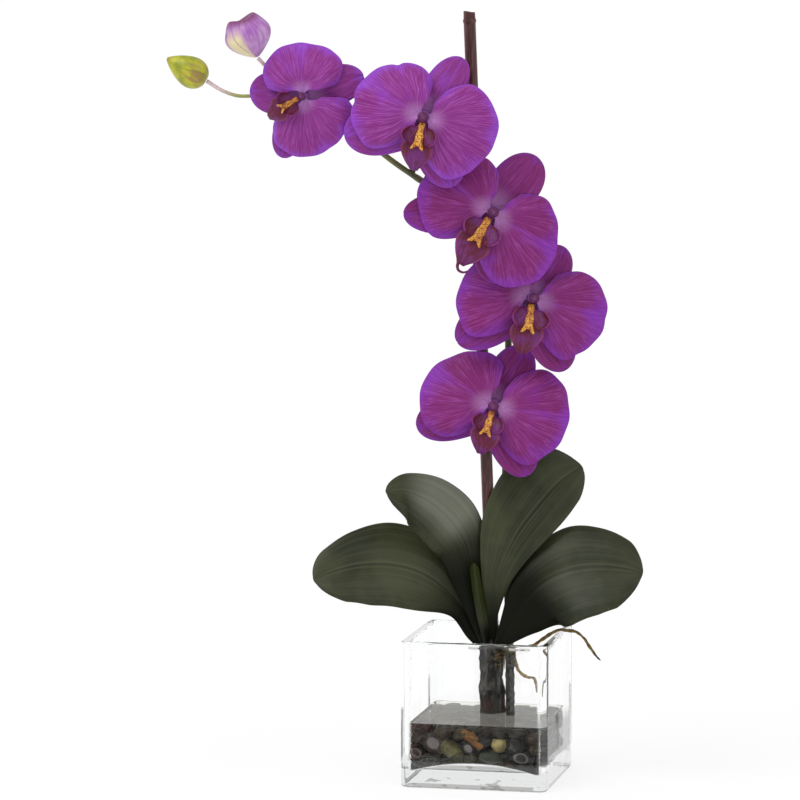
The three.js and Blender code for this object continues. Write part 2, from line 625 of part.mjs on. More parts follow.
// Air roots
const ROOTS = {
  root_over_rim: [[6, -15, 84], [16, -14, 86], [30.8, -9, 89.8], [38.6, -5, 95.6], [43.6, -2, 99.5],
    [49.6, 0, 102.7], [55.4, 2, 102.6], [61.3, 4, 101.8], [66.3, 6, 98], [70.4, 8, 92], [74.2, 9, 86.8],
    [77.8, 10, 82.8]],
  root_in_vase: [[6, -10, 84], [12, -7.5, 88], [17.9, -6.5, 86.8], [19.2, -3, 81], [21.9, 0, 74],
    [27.4, 3, 70.3], [31.8, 5, 69.9], [33.5, 6, 66.6], [34.2, 6, 59.6]],
};

function rootGeometry(points) {
  const knobbly = (s) => lerp(1.45, 0.8, s) + 0.15 * Math.sin(31 * s);
  return tube(points.map(seen), knobbly, 5, 18);
}

// Assembly

const orchid = new THREE.Group();
const plant = new THREE.Group();
plant.rotation.z = rad(PLANT_TURN);
orchid.add(plant);

const pit = holes(CROWN.foot - CLEAR);
orchid.add(
  piece('vase', vaseGeometry(), COLOURS.glass, { roughness: 0.05, transparent: true, opacity: 0.35 }),
  piece('pebbles', geometryFrom(pebbleSolid().subtract(pit)), COLOURS.stone, { roughness: 0.4 }),
  piece('water', waterGeometry(), COLOURS.water, { roughness: 0.05 }),
);

const crown = solidOf(crownGeometry(0));
const aroundCrown = solidOf(crownGeometry(CLEAR));
const aroundStake = solidOf(stakeGeometry(CLEAR));
plant.add(
  piece('crown', geometryFrom(crown.subtract(aroundStake)), COLOURS.crown, { roughness: 0.9 }),
  piece('stake', stakeGeometry(0), COLOURS.wood, { roughness: 0.35 }),
);

for (const [name, stations] of Object.entries(LEAVES)) {
  const blade = solidOf(leafGeometry(stations)).subtract(aroundCrown).subtract(aroundStake);
  plant.add(piece(name, geometryFrom(blade), COLOURS.leaf, { roughness: 0.5 }));
}
const youngLeaf = solidOf(youngLeafGeometry()).subtract(aroundCrown);
plant.add(piece('leaf_young', geometryFrom(youngLeaf), COLOURS.youngLeaf));
for (const [name, points] of Object.entries(ROOTS)) {
  plant.add(piece(name, geometryFrom(solidOf(rootGeometry(points)).subtract(aroundCrown)), COLOURS.root));
}

plant.add(piece('flower_spike', geometryFrom(spikeSolid()), COLOURS.stem));
BLOOMS.forEach((bloom, i) => {
  const head = new THREE.Group();
  head.applyMatrix4(bloomFrame(bloom));
  const { lobes, callus } = lipSolids(bloom);
  head.add(
    piece(`bloom_${i + 1}_petals`, geometryFrom(tepalSolid(bloom)), COLOURS.petal),
    piece(`bloom_${i + 1}_lip`, geometryFrom(lobes), COLOURS.lip),
    piece(`bloom_${i + 1}_callus`, geometryFrom(callus), COLOURS.callus),
  );
  plant.add(head);
});
for (const [name, { shape, colour }] of Object.entries(BUDS)) {
  plant.add(piece(name, budGeometry(...shape), colour));
}

export default orchid;
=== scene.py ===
# %% [markdown]
# # A moth orchid in a square glass vase
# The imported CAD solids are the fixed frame: they say where every leaf, bloom and stone is. Here each one
# is made again as a finer surface with its veins, seams and colours. Everything is in metres in the end,
# but the shapes are worked out in millimetres, as a maker would measure them.

# %% Load the frame
import math

import bmesh
import bpy
import numpy as np
from mathutils import Matrix, Vector


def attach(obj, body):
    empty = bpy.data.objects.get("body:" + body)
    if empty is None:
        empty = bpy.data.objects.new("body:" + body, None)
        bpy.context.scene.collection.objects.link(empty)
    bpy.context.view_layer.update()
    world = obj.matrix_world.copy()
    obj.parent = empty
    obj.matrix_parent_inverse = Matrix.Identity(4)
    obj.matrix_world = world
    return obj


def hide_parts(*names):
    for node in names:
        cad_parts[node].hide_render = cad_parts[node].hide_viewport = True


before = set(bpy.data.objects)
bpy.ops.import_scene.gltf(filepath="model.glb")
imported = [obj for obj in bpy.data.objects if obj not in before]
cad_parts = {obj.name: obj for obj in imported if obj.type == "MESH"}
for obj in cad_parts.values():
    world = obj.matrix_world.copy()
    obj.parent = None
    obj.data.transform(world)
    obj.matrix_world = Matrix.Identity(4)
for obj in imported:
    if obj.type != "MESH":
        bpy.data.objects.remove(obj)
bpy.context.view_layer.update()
print("frame nodes:", len(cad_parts))

# %% [markdown]
# ## Camera
# The photograph was taken with a long lens from a little above and a little to the right. Its place was
# worked out from the corners of the vase. A camera is a matrix whose columns are its right, up and
# backward directions, so those three are worked out first.

# %% The photograph's camera
AZIMUTH, ELEVATION = math.radians(12.156), math.radians(6.135)
DISTANCE, SIDE_SHIFT, HEIGHT_SHIFT = 3.060, -0.06029, 0.26076
LENS = 198.8
back = Vector((math.sin(AZIMUTH) * math.cos(ELEVATION), -math.cos(AZIMUTH) * math.cos(ELEVATION),
               math.sin(ELEVATION)))
right = Vector((math.cos(AZIMUTH), math.sin(AZIMUTH), 0))
up = back.cross(right)
view = bpy.data.cameras.new("view")
view.sensor_width, view.lens = 36, LENS
camera = bpy.data.objects.new("camera", view)
bpy.context.collection.objects.link(camera)
camera.matrix_world = Matrix.Translation(back * DISTANCE + right * SIDE_SHIFT + up * HEIGHT_SHIFT) \
    @ Matrix((right, up, back)).transposed().to_4x4()
bpy.context.scene.camera = camera
print("camera at", [round(x, 3) for x in camera.matrix_world.translation])

# %% [markdown]
# ## Shader maths
# A material is a small network of nodes. Written by hand that is long to read, so `Wire` wraps one socket
# and lets it be added, multiplied and compared like a number. Each operation adds one Math node.


# %% A socket that does sums
class Wire:
    """One output socket. Sums with numbers or other wires add Math nodes behind it."""

    def __init__(self, finish, socket):
        self.finish, self.socket = finish, socket

    def maths(self, operation, *others):
        return self.finish.node("ShaderNodeMath", dict(operation=operation), {
            i: x for i, x in enumerate((self, *others))})

    def __add__(self, other): return self.maths("ADD", other)
    def __sub__(self, other): return self.maths("SUBTRACT", other)
    def __mul__(self, other): return self.maths("MULTIPLY", other)
    def __rsub__(self, other): return (self * -1) + other
    def __abs__(self): return self.maths("ABSOLUTE")
    __radd__, __rmul__ = __add__, __mul__

    def rise(self, low, high):
        """0 below low, 1 above high, and a smooth step between them."""
        return self.finish.node("ShaderNodeMapRange", dict(interpolation_type="SMOOTHSTEP"), {
            "Value": self, "From Min": low, "From Max": high})

    def fall(self, low, high): return 1 - self.rise(low, high)


# %% A finish is a material under construction
class Finish:
    """A Principled material. Constants go straight onto its sockets, patterns come in by wires."""

    def __init__(self, name, **constants):
        self.material = bpy.data.materials.new(name)
        self.material.use_nodes = True
        self.tree = self.material.node_tree
        self.shader = self.tree.nodes["Principled BSDF"]
        for socket, value in constants.items():
            self.shader.inputs[socket.replace("_", " ")].default_value = value

    def put(self, socket, value):
        if isinstance(value, Wire):
            self.tree.links.new(value.socket, socket)
        elif isinstance(value, tuple) and len(value) == 3 and socket.type == "RGBA":
            socket.default_value = (*value, 1)
        else:
            socket.default_value = value

    def node(self, kind, settings, inputs, out=0):
        made = self.tree.nodes.new(kind)
        for key, value in settings.items():
            setattr(made, key, value)
        for key, value in inputs.items():
            self.put(made.inputs[key], value)
        return Wire(self, made.outputs[out])

    def place(self):
        """The point's place on the object, in metres."""
        return self.node("ShaderNodeTexCoord", {}, {}, out="Object")

    def along_across(self):
        """The piece's own map: how far along it a point is, and how far across, both from 0 to 1."""
        split = self.node("ShaderNodeSeparateXYZ", {}, {0: self.node("ShaderNodeUVMap", {}, {})})
        return split, Wire(self, split.socket.node.outputs[1])

    def axes(self, vector):
        """The three numbers of a vector."""
        split = self.node("ShaderNodeSeparateXYZ", {}, {0: vector}).socket.node
        return [Wire(self, socket) for socket in split.outputs]

    def point(self, x, y, z=0.0):
        return self.node("ShaderNodeCombineXYZ", {}, {0: x, 1: y, 2: z})

    def attribute(self, name, out="Fac"):
        return self.node("ShaderNodeAttribute", dict(attribute_name=name), {}, out=out)

    def noise(self, vector=None, scale=1.0, detail=2.0, rough=0.5, warp=0.0):
        """Soft noise from 0 to 1 over the given vector, or over the point's place."""
        return self.node("ShaderNodeTexNoise", {}, {
            "Vector": self.place() if vector is None else vector,
            "Scale": scale, "Detail": detail, "Roughness": rough, "Distortion": warp})

    def mix(self, factor, first, second):
        """first where factor is 0, second where it is 1, both colours."""
        return self.node("ShaderNodeMix", dict(data_type="RGBA"), {0: factor, 6: first, 7: second}, out=2)

    def paint(self, colour, *coats):
        """Coats laid over a colour in turn. Each is a pair: where it covers, from 0 to 1, and its colour."""
        for cover, coat in coats:
            colour = self.mix(cover, colour, coat)
        return colour

    def bump(self, height, depth_mm):
        return self.node("ShaderNodeBump", {}, {"Height": height, "Distance": depth_mm / 1000, "Strength": 1.0})

    def wear(self, **sockets):
        for socket, value in sockets.items():
            self.put(self.shader.inputs[socket.replace("_", " ")], value)
        return self.material

    def part_clear(self, share):
        """Lets a share of the light pass straight on, as a thin pane does."""
        clear, blend = (self.tree.nodes.new(k) for k in ("ShaderNodeBsdfTransparent", "ShaderNodeMixShader"))
        self.put(blend.inputs[0], share)
        self.tree.links.new(self.shader.outputs[0], blend.inputs[1])
        self.tree.links.new(clear.outputs[0], blend.inputs[2])
        self.tree.links.new(blend.outputs[0], self.tree.nodes["Material Output"].inputs["Surface"])
        return self.material


def shade(red, green, blue):
    """A screen colour from 0 to 255 as the linear light that shaders use."""
    part = np.array([red, green, blue]) / 255
    return tuple(float(x) for x in np.where(part > 0.04045, ((part + 0.055) / 1.055) ** 2.4, part / 12.92))


# %% [markdown]
# ## Skins
# Every piece is made of skins: a grid of points that is a function of two parameters. `skin` turns a grid
# into faces, and `blade` makes a closed thin body of it. Nothing walks over single points: numpy works on
# the whole grid at once.

# %% Grids to faces
def down(count, low=0.0, high=1.0):
    """Even steps as a column: one value for each row of a grid."""
    return np.linspace(low, high, count)[:, None]


def over(count, low=-1.0, high=1.0):
    """Even steps as a row: one value for each column of a grid."""
    return np.linspace(low, high, count)[None, :]


def full_turn(count):
    """Even angles round a circle, as a row."""
    return np.arange(count)[None, :] / count * 2 * np.pi


def grid_of(x, y, z):
    """Points from their three coordinates, each spread over the whole grid."""
    return np.stack(np.broadcast_arrays(x, y, z), -1)


def unit(vectors):
    """Each vector divided by its own length."""
    return vectors / np.linalg.norm(vectors, axis=-1, keepdims=True)


def square_to(way, lean=(0.0, 1.0, 0.0)):
    """Two directions square to a way and to each other; the first is square to lean as well."""
    side = unit(np.cross(way, lean))
    return side, np.cross(way, side)


def ramp01(value, low, high):
    """Smooth step: 3s2 - 2s3, where s is how far value is between low and high."""
    s = np.clip((value - low) / (high - low), 0, 1)
    return s * s * (3 - 2 * s)


def grid_faces(rows, cols, wrap):
    """Corner numbers of every four-sided face of a grid, and each corner's place along and across it."""
    i, j = np.meshgrid(np.arange(rows - 1), np.arange(cols if wrap else cols - 1), indexing="ij")
    di, dj = np.array([0, 0, 1, 1]), np.array([0, 1, 1, 0])
    ri, rj = i[..., None] + di, j[..., None] + dj
    faces = (ri * cols + rj % cols).reshape(-1, 4)
    spots = np.stack([ri / (rows - 1), rj / (cols if wrap else cols - 1)], -1).reshape(-1, 2)
    return faces, spots


def skin(points, wrap=False, caps=False, **marks):
    """A grid as one skin; wrap joins its last column to its first, caps close its end rings."""
    rows, cols = points.shape[:2]
    faces, spots = grid_faces(rows, cols, wrap)
    faces = faces.tolist()
    if caps:
        first, last = list(range(cols)), list(range((rows - 1) * cols, rows * cols))
        faces += [first[::-1], last]
        across = np.arange(cols) / cols
        spots = np.vstack([spots, np.stack([0 * across, across[::-1]], -1), np.stack([0 * across + 1, across], -1)])
    return dict(points=points.reshape(-1, 3), faces=faces, spots=spots,
                marks={k: np.broadcast_to(v, points.shape[:2] + np.shape(v)[2:]).reshape(rows * cols, -1)
                       for k, v in marks.items()})


def blade(points, thickness):
    """A thin closed body: the sheet moved half its thickness to either side along its normal, and a strip
    of faces round the rim."""
    rows, cols = points.shape[:2]
    normal = np.cross(np.gradient(points, axis=1), np.gradient(points, axis=0))
    normal /= np.maximum(np.linalg.norm(normal, axis=-1, keepdims=True), 1e-9)
    half = np.broadcast_to(thickness, (rows, cols))[..., None] / 2
    both = np.stack([points + normal * half, points - normal * half]).reshape(-1, 3)
    faces, spots = grid_faces(rows, cols, False)
    number = np.arange(rows * cols).reshape(rows, cols)
    rim = np.concatenate([number[0, :-1], number[:-1, -1], number[-1, :0:-1], number[:0:-1, 0]])
    ahead = np.roll(rim, -1)
    lower = rows * cols
    strip = np.stack([rim, ahead, ahead + lower, rim + lower], -1)
    where = np.stack([(number // cols) / (rows - 1), (number % cols) / (cols - 1)], -1).reshape(-1, 2)
    strip_spots = where[strip % lower].reshape(-1, 2)
    return dict(points=both, faces=np.vstack([faces, faces[:, ::-1] + lower, strip]).tolist(), marks={},
                spots=np.vstack([spots, spots.reshape(-1, 4, 2)[:, ::-1].reshape(-1, 2), strip_spots]))


def moved(made, matrix):
    """A skin carried from a bloom's own frame into the plant's frame."""
    turn, shift = np.array(matrix)[:3, :3], np.array(matrix)[:3, 3]
    return {**made, "points": made["points"] @ turn.T + shift}


# %% [markdown]
# The plant is turned in its vase by as much as the camera stands to the side, so it is measured as the
# camera sees it: to the right, towards the viewer, and up. `seen` brings such points into the vase's frame.

# %% The plant's own directions
PLANT_TURN = Matrix.Rotation(AZIMUTH, 3, "Z")


def upright(points):
    """Points (right, towards the viewer, up) as (right, away from the viewer, up)."""
    return np.asarray(points, float) * np.array([1, -1, 1])


def in_vase(points):
    """Turned about the upright axis into the vase's frame."""
    return points @ np.array(PLANT_TURN).T


# %% One maker for every piece


def finished(name, skins, finishes, node, turned=True, sharp=None):
    """Puts skins together as one object, in metres, with outward faces, hangs it under the root body and hides the
    part of the frame that it stands for.
    """
    offsets = np.cumsum([0] + [len(s["points"]) for s in skins])
    points = np.vstack([s["points"] for s in skins])
    if turned:
        points = in_vase(points)
    mesh = bpy.data.meshes.new(name)
    faces = [[c + int(o) for c in face] for s, o in zip(skins, offsets) for face in s["faces"]]
    mesh.from_pydata((points / 1000).tolist(), [], faces)
    layer = mesh.uv_layers.new(name="UVMap")
    layer.data.foreach_set("uv", np.vstack([s["spots"] for s in skins]).astype(np.float32).ravel())
    which = np.concatenate([np.full(len(s["faces"]), s.get("finish", 0)) for s in skins]).astype(np.int32)
    for finish in finishes:
        mesh.materials.append(finish)
    mesh.polygons.foreach_set("material_index", which)
    for key in sorted({k for s in skins for k in s["marks"]}):
        width = max(s["marks"][key].shape[1] for s in skins if key in s["marks"])
        values = np.vstack([s["marks"].get(key, np.zeros((len(s["points"]), width))) for s in skins])
        colour = width == 3
        made = mesh.attributes.new(key, "FLOAT_COLOR" if colour else "FLOAT", "POINT")
        if colour:
            values = np.hstack([values, np.ones((len(values), 1))])
        made.data.foreach_set("color" if colour else "value", values.astype(np.float32).ravel())
    shell = bmesh.new()
    shell.from_mesh(mesh)
    bmesh.ops.recalc_face_normals(shell, faces=shell.faces)
    shell.to_mesh(mesh)
    shell.free()
    mesh.shade_smooth()
    if sharp:
        mesh.set_sharp_from_angle(angle=math.radians(sharp))
    thing = bpy.data.objects.new(name, mesh)
    bpy.context.collection.objects.link(thing)
    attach(thing, "root")
    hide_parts(node)
    print(name, len(mesh.polygons), "faces")


# %% Curves and tables
def smooth_path(points, count):
    """Centripetal Catmull-Rom: each stretch is a cubic whose slopes weigh the neighbours by the square
    root of their distance. A count reads the curve at equal steps of its length; a row of shares reads it
    at those shares of its table."""
    p = np.asarray(points, float)
    chain = np.vstack([2 * p[0] - p[1], p, 2 * p[-1] - p[-2]])
    root = np.sqrt(np.linalg.norm(np.diff(chain, axis=0), axis=1))

    def at(x):
        i = np.clip(np.floor(x).astype(int), 0, len(p) - 2)
        s = (x - i)[:, None]
        a, b, c, d = (chain[i + k] for k in range(4))
        e, f, g = (root[i + k][:, None] for k in range(3))
        leave = ((b - a) / e - (c - a) / (e + f) + (c - b) / f) * f
        arrive = ((c - b) / f - (d - b) / (f + g) + (d - c) / g) * f
        return ((2 * s**3 - 3 * s**2 + 1) * b + (s**3 - 2 * s**2 + s) * leave
                + (3 * s**2 - 2 * s**3) * c + (s**3 - s**2) * arrive)

    if np.ndim(count):
        return at(np.asarray(count) * (len(p) - 1))
    fine = at(np.linspace(0, len(p) - 1, 40 * len(p)))
    run = np.concatenate([[0], np.cumsum(np.linalg.norm(np.diff(fine, axis=0), axis=1))])
    steps = np.linspace(0, run[-1], count)
    return np.stack([np.interp(steps, run, fine[:, k]) for k in range(3)], -1)


def between(values, s):
    """Smooth value between evenly spaced table entries, by a Catmull-Rom cubic."""
    v = np.asarray(values, float)
    x = np.clip(s, 0, 1) * (len(v) - 1)
    i = np.minimum(np.floor(x).astype(int), len(v) - 2)
    p, a, b, q = v[np.maximum(i - 1, 0)], v[i], v[i + 1], v[np.minimum(i + 2, len(v) - 1)]
    t = x - i
    return 0.5 * (2 * a + (b - p) * t + (2 * p - 5 * a + 4 * b - q) * t**2 + (3 * a - p - 3 * b + q) * t**3)


def tube(path, radius, sides, lean=(0.0, 1.0, 0.0), **marks):
    """Round rings about a path. radius is a number, a row, or a grid of rows by sides. The first direction
    of each ring is square to the path and to lean, the second is square to both."""
    side, other = square_to(unit(np.gradient(path, axis=0)), lean)
    angle = np.arange(sides) / sides * 2 * np.pi
    r = np.asarray(radius, float)
    r = r[:, None] if r.ndim == 1 else r
    r = np.broadcast_to(r, (len(path), sides))[..., None]
    grid = path[:, None] + r * (np.cos(angle)[None, :, None] * side[:, None]
                                + np.sin(angle)[None, :, None] * other[:, None])
    return skin(grid, wrap=True, caps=True, **marks)


def draws(seed):
    """The same repeatable row of numbers between 0 and 1 each run."""
    return np.random.RandomState(seed)

# %% [markdown]
# ## Petals and sepals
# A moth orchid's bloom has two broad petals in front and three narrower sepals behind. A petal's veins fan
# out from a narrow claw, so its surface is written in polar form: the angle fans out, the reach follows the
# outline, and a soft roll with a crease along the middle gives it its depth.

# %% Petal and sepal surfaces
def petal_surface(petal, wave, dents=(), rows=56, cols=112):
    """Fan of rays from the first edge to the last. Reach = share x a smooth curve through nine reaches.
    Depth = a roll sin(pi share^0.9), less share cubed, with waves that grow towards the rim, a crease
    along the middle ray and fine ripples at the rim."""
    first, last, reaches = petal
    i = down(rows + 1)
    share = 0.07 + 0.93 * np.sin(i * np.pi / 2) ** 1.15
    t = over(cols + 1)
    fan = 0.4 + 0.6 * ramp01(share, 0, 0.5)
    outline = 1 - 0.09 * np.abs(t) ** 26 * ramp01(share, 0.3, 1) + 0.006 * np.sin(19 * t + 3 * wave)
    for at, deep in dents:
        outline = outline - deep * np.exp(-((t - at) / 0.045) ** 2)
    reach = between(reaches, (t + 1) / 2) * share * outline
    angle = np.radians((first + last) / 2 + (last - first) / 2 * fan * t)
    depth = (2 + 4.5 * np.sin(np.pi * share**0.9) - 4.5 * share**3
             + share**2 * (1.1 * np.sin(3.1 * t + wave) + 0.5 * np.sin(7 * t + 2 * wave))
             - 0.9 * share * np.exp(-((t + 0.05) / 0.05) ** 2)
             + 0.35 * share**5 * np.sin(23 * t + 5 * wave))
    for at, deep in dents:
        depth = depth - 22 * deep * share**3 * np.exp(-((t - at) / 0.07) ** 2)
    sheet = grid_of(reach * np.cos(angle), reach * np.sin(angle), depth)
    return blade(sheet, 0.9 - 0.5 * ramp01(np.maximum(share, np.abs(t) ** 3 * share), 0.75, 1))


def sepal_surface(sepal, wave, rows=44, cols=28):
    """An oval blade on a narrow foot: half width = half x (1 - |2 s^0.85 - 1|^2.6)^0.5, bent back by
    s^1.5 and across its width, with a shallow channel along its middle."""
    axis, length, half = sepal
    along = np.array([math.cos(math.radians(axis)), math.sin(math.radians(axis)), 0])
    side = np.array([-along[1], along[0], 0])
    s = 0.05 + 0.95 * np.sin(down(rows + 1) * np.pi / 2)
    w = over(cols + 1)
    oval = np.sqrt(np.maximum(1 - np.abs(2 * s**0.85 - 1) ** 2.6, 0.004))
    width = half * oval * (0.6 + 0.4 * ramp01(s, 0, 0.4))
    depth = (-2.2 - 5 * s**1.5 - 1.2 * w**2 * s + 0.5 * np.sin(4 * s + wave) * w
             - 0.5 * s * np.exp(-(w / 0.12) ** 2) + 0.25 * np.sin(13 * s + wave) * w**4)
    sheet = (along * (length * s)[..., None] + side * (width * w)[..., None]
             + np.array([0, 0, 1]) * depth[..., None])
    return blade(sheet, 0.9 - 0.4 * ramp01(np.maximum(np.abs(w), s), 0.8, 1))


# %% [markdown]
# ## Column and lip
# In the middle stands the column, a blunt rod with a rounded cap. Below it hangs the lip: a trowel-shaped
# middle lobe, two side lobes that curl up like ears, and between them the callus, a yellow ridge that ends in
# a fork. On the third bloom the lip's tip runs out into a tendril that hooks forward.

# %% Column, lobes, tendrils and callus
HUB_PROFILE = np.array([[2.2, -7.2], [4.4, -5], [5, -2.5], [4.4, 0.6], [3.3, 3], [3.3, 8.5], [3.8, 10.8],
                        [3.7, 12.6], [2.6, 14.2], [0.5, 14.9]])


def column_skin(size):
    """The profile turned about the bloom's axis, drooping by a twenty-fifth of its depth."""
    s = np.linspace(0, 1, 46)
    radius = np.maximum(between(HUB_PROFILE[:, 0], s), 0.4)[:, None] * size
    depth = between(HUB_PROFILE[:, 1], s)[:, None]
    angle = full_turn(32)
    hollow = 1 - 0.16 * ramp01(depth, 2, 9) * np.exp(-((angle - 1.5 * np.pi) / 0.5) ** 2)
    grid = grid_of(
        radius * hollow * np.cos(angle), radius * hollow * np.sin(angle) - 0.04 * np.maximum(depth, 0),
        depth * size)
    return {**skin(grid, wrap=True, caps=True), "finish": 1}


def lip_height(q):
    """How far the lip's floor stands forward at a distance q from the middle: a low arch."""
    return 2.5 + 8 * np.sin(np.pi * np.clip((q - 2) / 34, 0, 1)) ** 0.8


def middle_lobe(rows=44, cols=28):
    """Half width from a table, edges lifted by w squared, with a keel along the middle."""
    a = down(rows + 1)
    w = over(cols + 1)
    q = 3.6 + 32.4 * a
    half = between([2, 3.4, 5, 9, 11, 9.5, 6.5, 2.6], a)
    high = (lip_height(q) + 1.4 * w**2 * np.sin(np.pi * a) + 0.9 * np.exp(-(w / 0.16) ** 2) * ramp01(a, 0.45, 0.7)
            - 1.6 * ramp01(np.abs(w), 0.6, 1) * ramp01(a, 0.5, 0.75) * ramp01(1 - a, 0.05, 0.3))
    grid = grid_of(half * w, -q, high)
    return blade(grid, 1.0 - 0.45 * ramp01(np.abs(w), 0.7, 1))


def side_lobe(hand, rows=26, cols=26):
    """An ear: it leaves the floor sideways and turns up by 105 degrees, highest at its middle."""
    a = down(rows + 1)
    b = over(cols + 1, 0)
    q = 7 + 13 * a
    tall = np.sin(np.pi * (0.12 + 0.78 * a)) ** 0.55
    turn = math.radians(105) * b
    grid = grid_of(
        hand * (2.6 + 9.2 * np.sin(turn) * tall), -(q + 2 * b * (0.5 - a)),
        lip_height(q) + 8.5 * (1 - np.cos(turn)) * tall * 0.9 + 0.35 * np.sin(9 * a) * b)
    return blade(grid, 1.0 - 0.45 * ramp01(b, 0.7, 1))


TENDRIL = [[-0.6, -33, 5.0], [-1.2, -37, 3.8], [0.8, -39.6, 3.4], [4, -39.4, 3.8], [6.2, -37, 4.6]]


def tendril():
    path = smooth_path(TENDRIL, 40)
    return tube(path, 1.2 - 0.7 * np.linspace(0, 1, 40), 10, lean=(0, 0, 1))


def callus_skins():
    """A ridge with a rounded top whose height and width wander, and two short prongs at its end."""
    s = down(40)
    turn = over(15, 0, np.pi)
    q = 4.2 + 16 * s
    half, high = 1.8 + 1.5 * s + 0.2 * np.sin(14 * s), 2.8 - 1.1 * s + 0.5 * np.sin(9 * s)
    foot = lip_height(q) + 1.0
    cross = half * np.cos(turn)
    rise = high * np.sin(turn) ** 0.8 * (1 - 0.35 * np.exp(-(np.cos(turn) / 0.28) ** 2) * ramp01(s, 0.1, 0.9))
    top = grid_of(cross, -q, foot + rise)
    base = grid_of(cross[:, ::-1][:, 1:-1], -q, foot + 0 * cross[:, 1:-1])
    ridge = skin(np.concatenate([top, base], 1), wrap=True, caps=True)
    prongs = []
    for hand in (-1, 1):
        path = smooth_path([[hand * 1.5, -18, 12.2], [hand * 2.6, -20.4, 12.6], [hand * 4.2, -22.4, 12.9]], 14)
        prongs.append(tube(path, 1.4 * np.sqrt(1 - np.linspace(0, 0.95, 14) ** 2), 12, lean=(0, 0, 1)))
    return [ridge, *prongs]


def lip_matrix(lip):
    """Stretched by the lip's scale and turned so that it hangs along its own axis."""
    axis, scale = lip
    return Matrix.Rotation(math.radians(axis + 90), 4, "Z") @ Matrix.Diagonal((scale, scale, 1, 1))


# %% [markdown]
# ## The five blooms
# Each bloom has its own centre, turn and tilt, and its own petals, because no two open alike. A petal is
# [first edge, last edge, nine reaches between them], a sepal [axis, length, half width]. Angles run
# anticlockwise from the right. The finer shapes come from the same numbers as the solids.

# %% The blooms' measures
BLOOMS = [
    dict(centre=(-124.8, 50, 472.6), yaw=-8, pitch=2, size=0.8, wave=0.6, lip=(212, 0.76), dents=((), ()),
         left=(20, 170, [24, 33, 35.5, 35, 35.5, 36, 35, 32, 26]),
         right=(-3, -141, [30, 36, 37, 38.5, 40, 41, 40, 36.5, 28]),
         dorsal=(19, 41.5, 13.5), sepals=((175, 38, 14.5), (-112, 44.5, 12)),
         stalk=((-99, 37.4, 455.4), (-110, 39, 465), (-120, 40.5, 471))),
    dict(centre=(-44.1, 69, 459.4), yaw=-4, pitch=3, size=1, wave=2.1, lip=(259, 1),
         dents=(((0.2, 0.03), (-0.46, 0.03)), ()),
         left=(76, 229, [25, 34, 39, 44.5, 48.5, 49.5, 47.5, 41.5, 21.5]),
         right=(50, -88, [24, 39, 44.5, 49, 50, 48.5, 47, 44, 30.5]),
         dorsal=(57, 46.5, 13.5), sepals=((194, 55.5, 18.5), (-68, 50, 16)),
         stalk=((-51.4, 34, 420.8), (-50, 46, 438), (-45, 58, 454))),
    dict(centre=(1.5, 52, 394.8), yaw=3, pitch=5, size=1, wave=3.4, lip=(238, 1.14), dents=((), ()),
         left=(78, 219, [27, 36, 41, 46.5, 51, 51.5, 47.5, 43.5, 28]),
         right=(31, -105, [24.5, 37, 43, 47.5, 52.5, 55, 53, 47.5, 35]),
         dorsal=(49, 48.5, 17), sepals=((181, 59, 14.5), (-86, 48, 15)), hook=True,
         stalk=((0, 16, 368), (1.5, 28, 384), (2, 40, 392.5))),
    dict(centre=(28.5, 35, 335.9), yaw=7, pitch=4, size=1, wave=4.4, lip=(258.5, 1.08), dents=((), ()),
         left=(74, 232, [26, 35, 38, 41.5, 45.5, 49.5, 51, 48, 29]),
         right=(39, -78, [25, 40, 48, 52.5, 54, 53.5, 50.5, 47.5, 30.5]),
         dorsal=(53, 41.5, 14.5), sepals=((211, 58, 16.5), (-64, 55.5, 16.5)),
         stalk=((13.6, 1.5, 306), (20, 13, 322), (27, 23.5, 333))),
    dict(centre=(3.7, 20, 260.5), yaw=-3, pitch=6, size=1, wave=5.5, lip=(254.4, 0.94), dents=((), ()),
         left=(76, 229, [30, 36, 40.5, 45, 50, 51, 49.5, 42, 22]),
         right=(53, -80, [26, 41.5, 48.5, 51, 52, 51.5, 48.5, 45, 28]),
         dorsal=(62, 45.5, 15.5), sepals=((195.5, 55, 16), (-64, 53, 15.5)),
         stalk=((13.2, -7.5, 236), (11.5, 2, 250), (6.5, 10, 258))),
]


def bloom_matrix(bloom):
    """Columns: the bloom's right, its up, and the way it faces; then its centre."""
    yaw, pitch = math.radians(bloom["yaw"]), math.radians(bloom["pitch"])
    out = Vector((math.sin(yaw) * math.cos(pitch), -math.cos(yaw) * math.cos(pitch), math.sin(pitch)))
    across = Vector((math.cos(yaw), math.sin(yaw), 0))
    turn = Matrix((across, out.cross(across), out)).transposed().to_4x4()
    return Matrix.Translation(upright(bloom["centre"]).tolist()) @ turn


# %% [markdown]
# ### Petal colour
# A petal is magenta where it is thick and violet towards the rim, the edges and the middle crease. Fine pale
# veins run along the fan: thin lines where a noise, stretched along the piece's own map, crosses its middle.

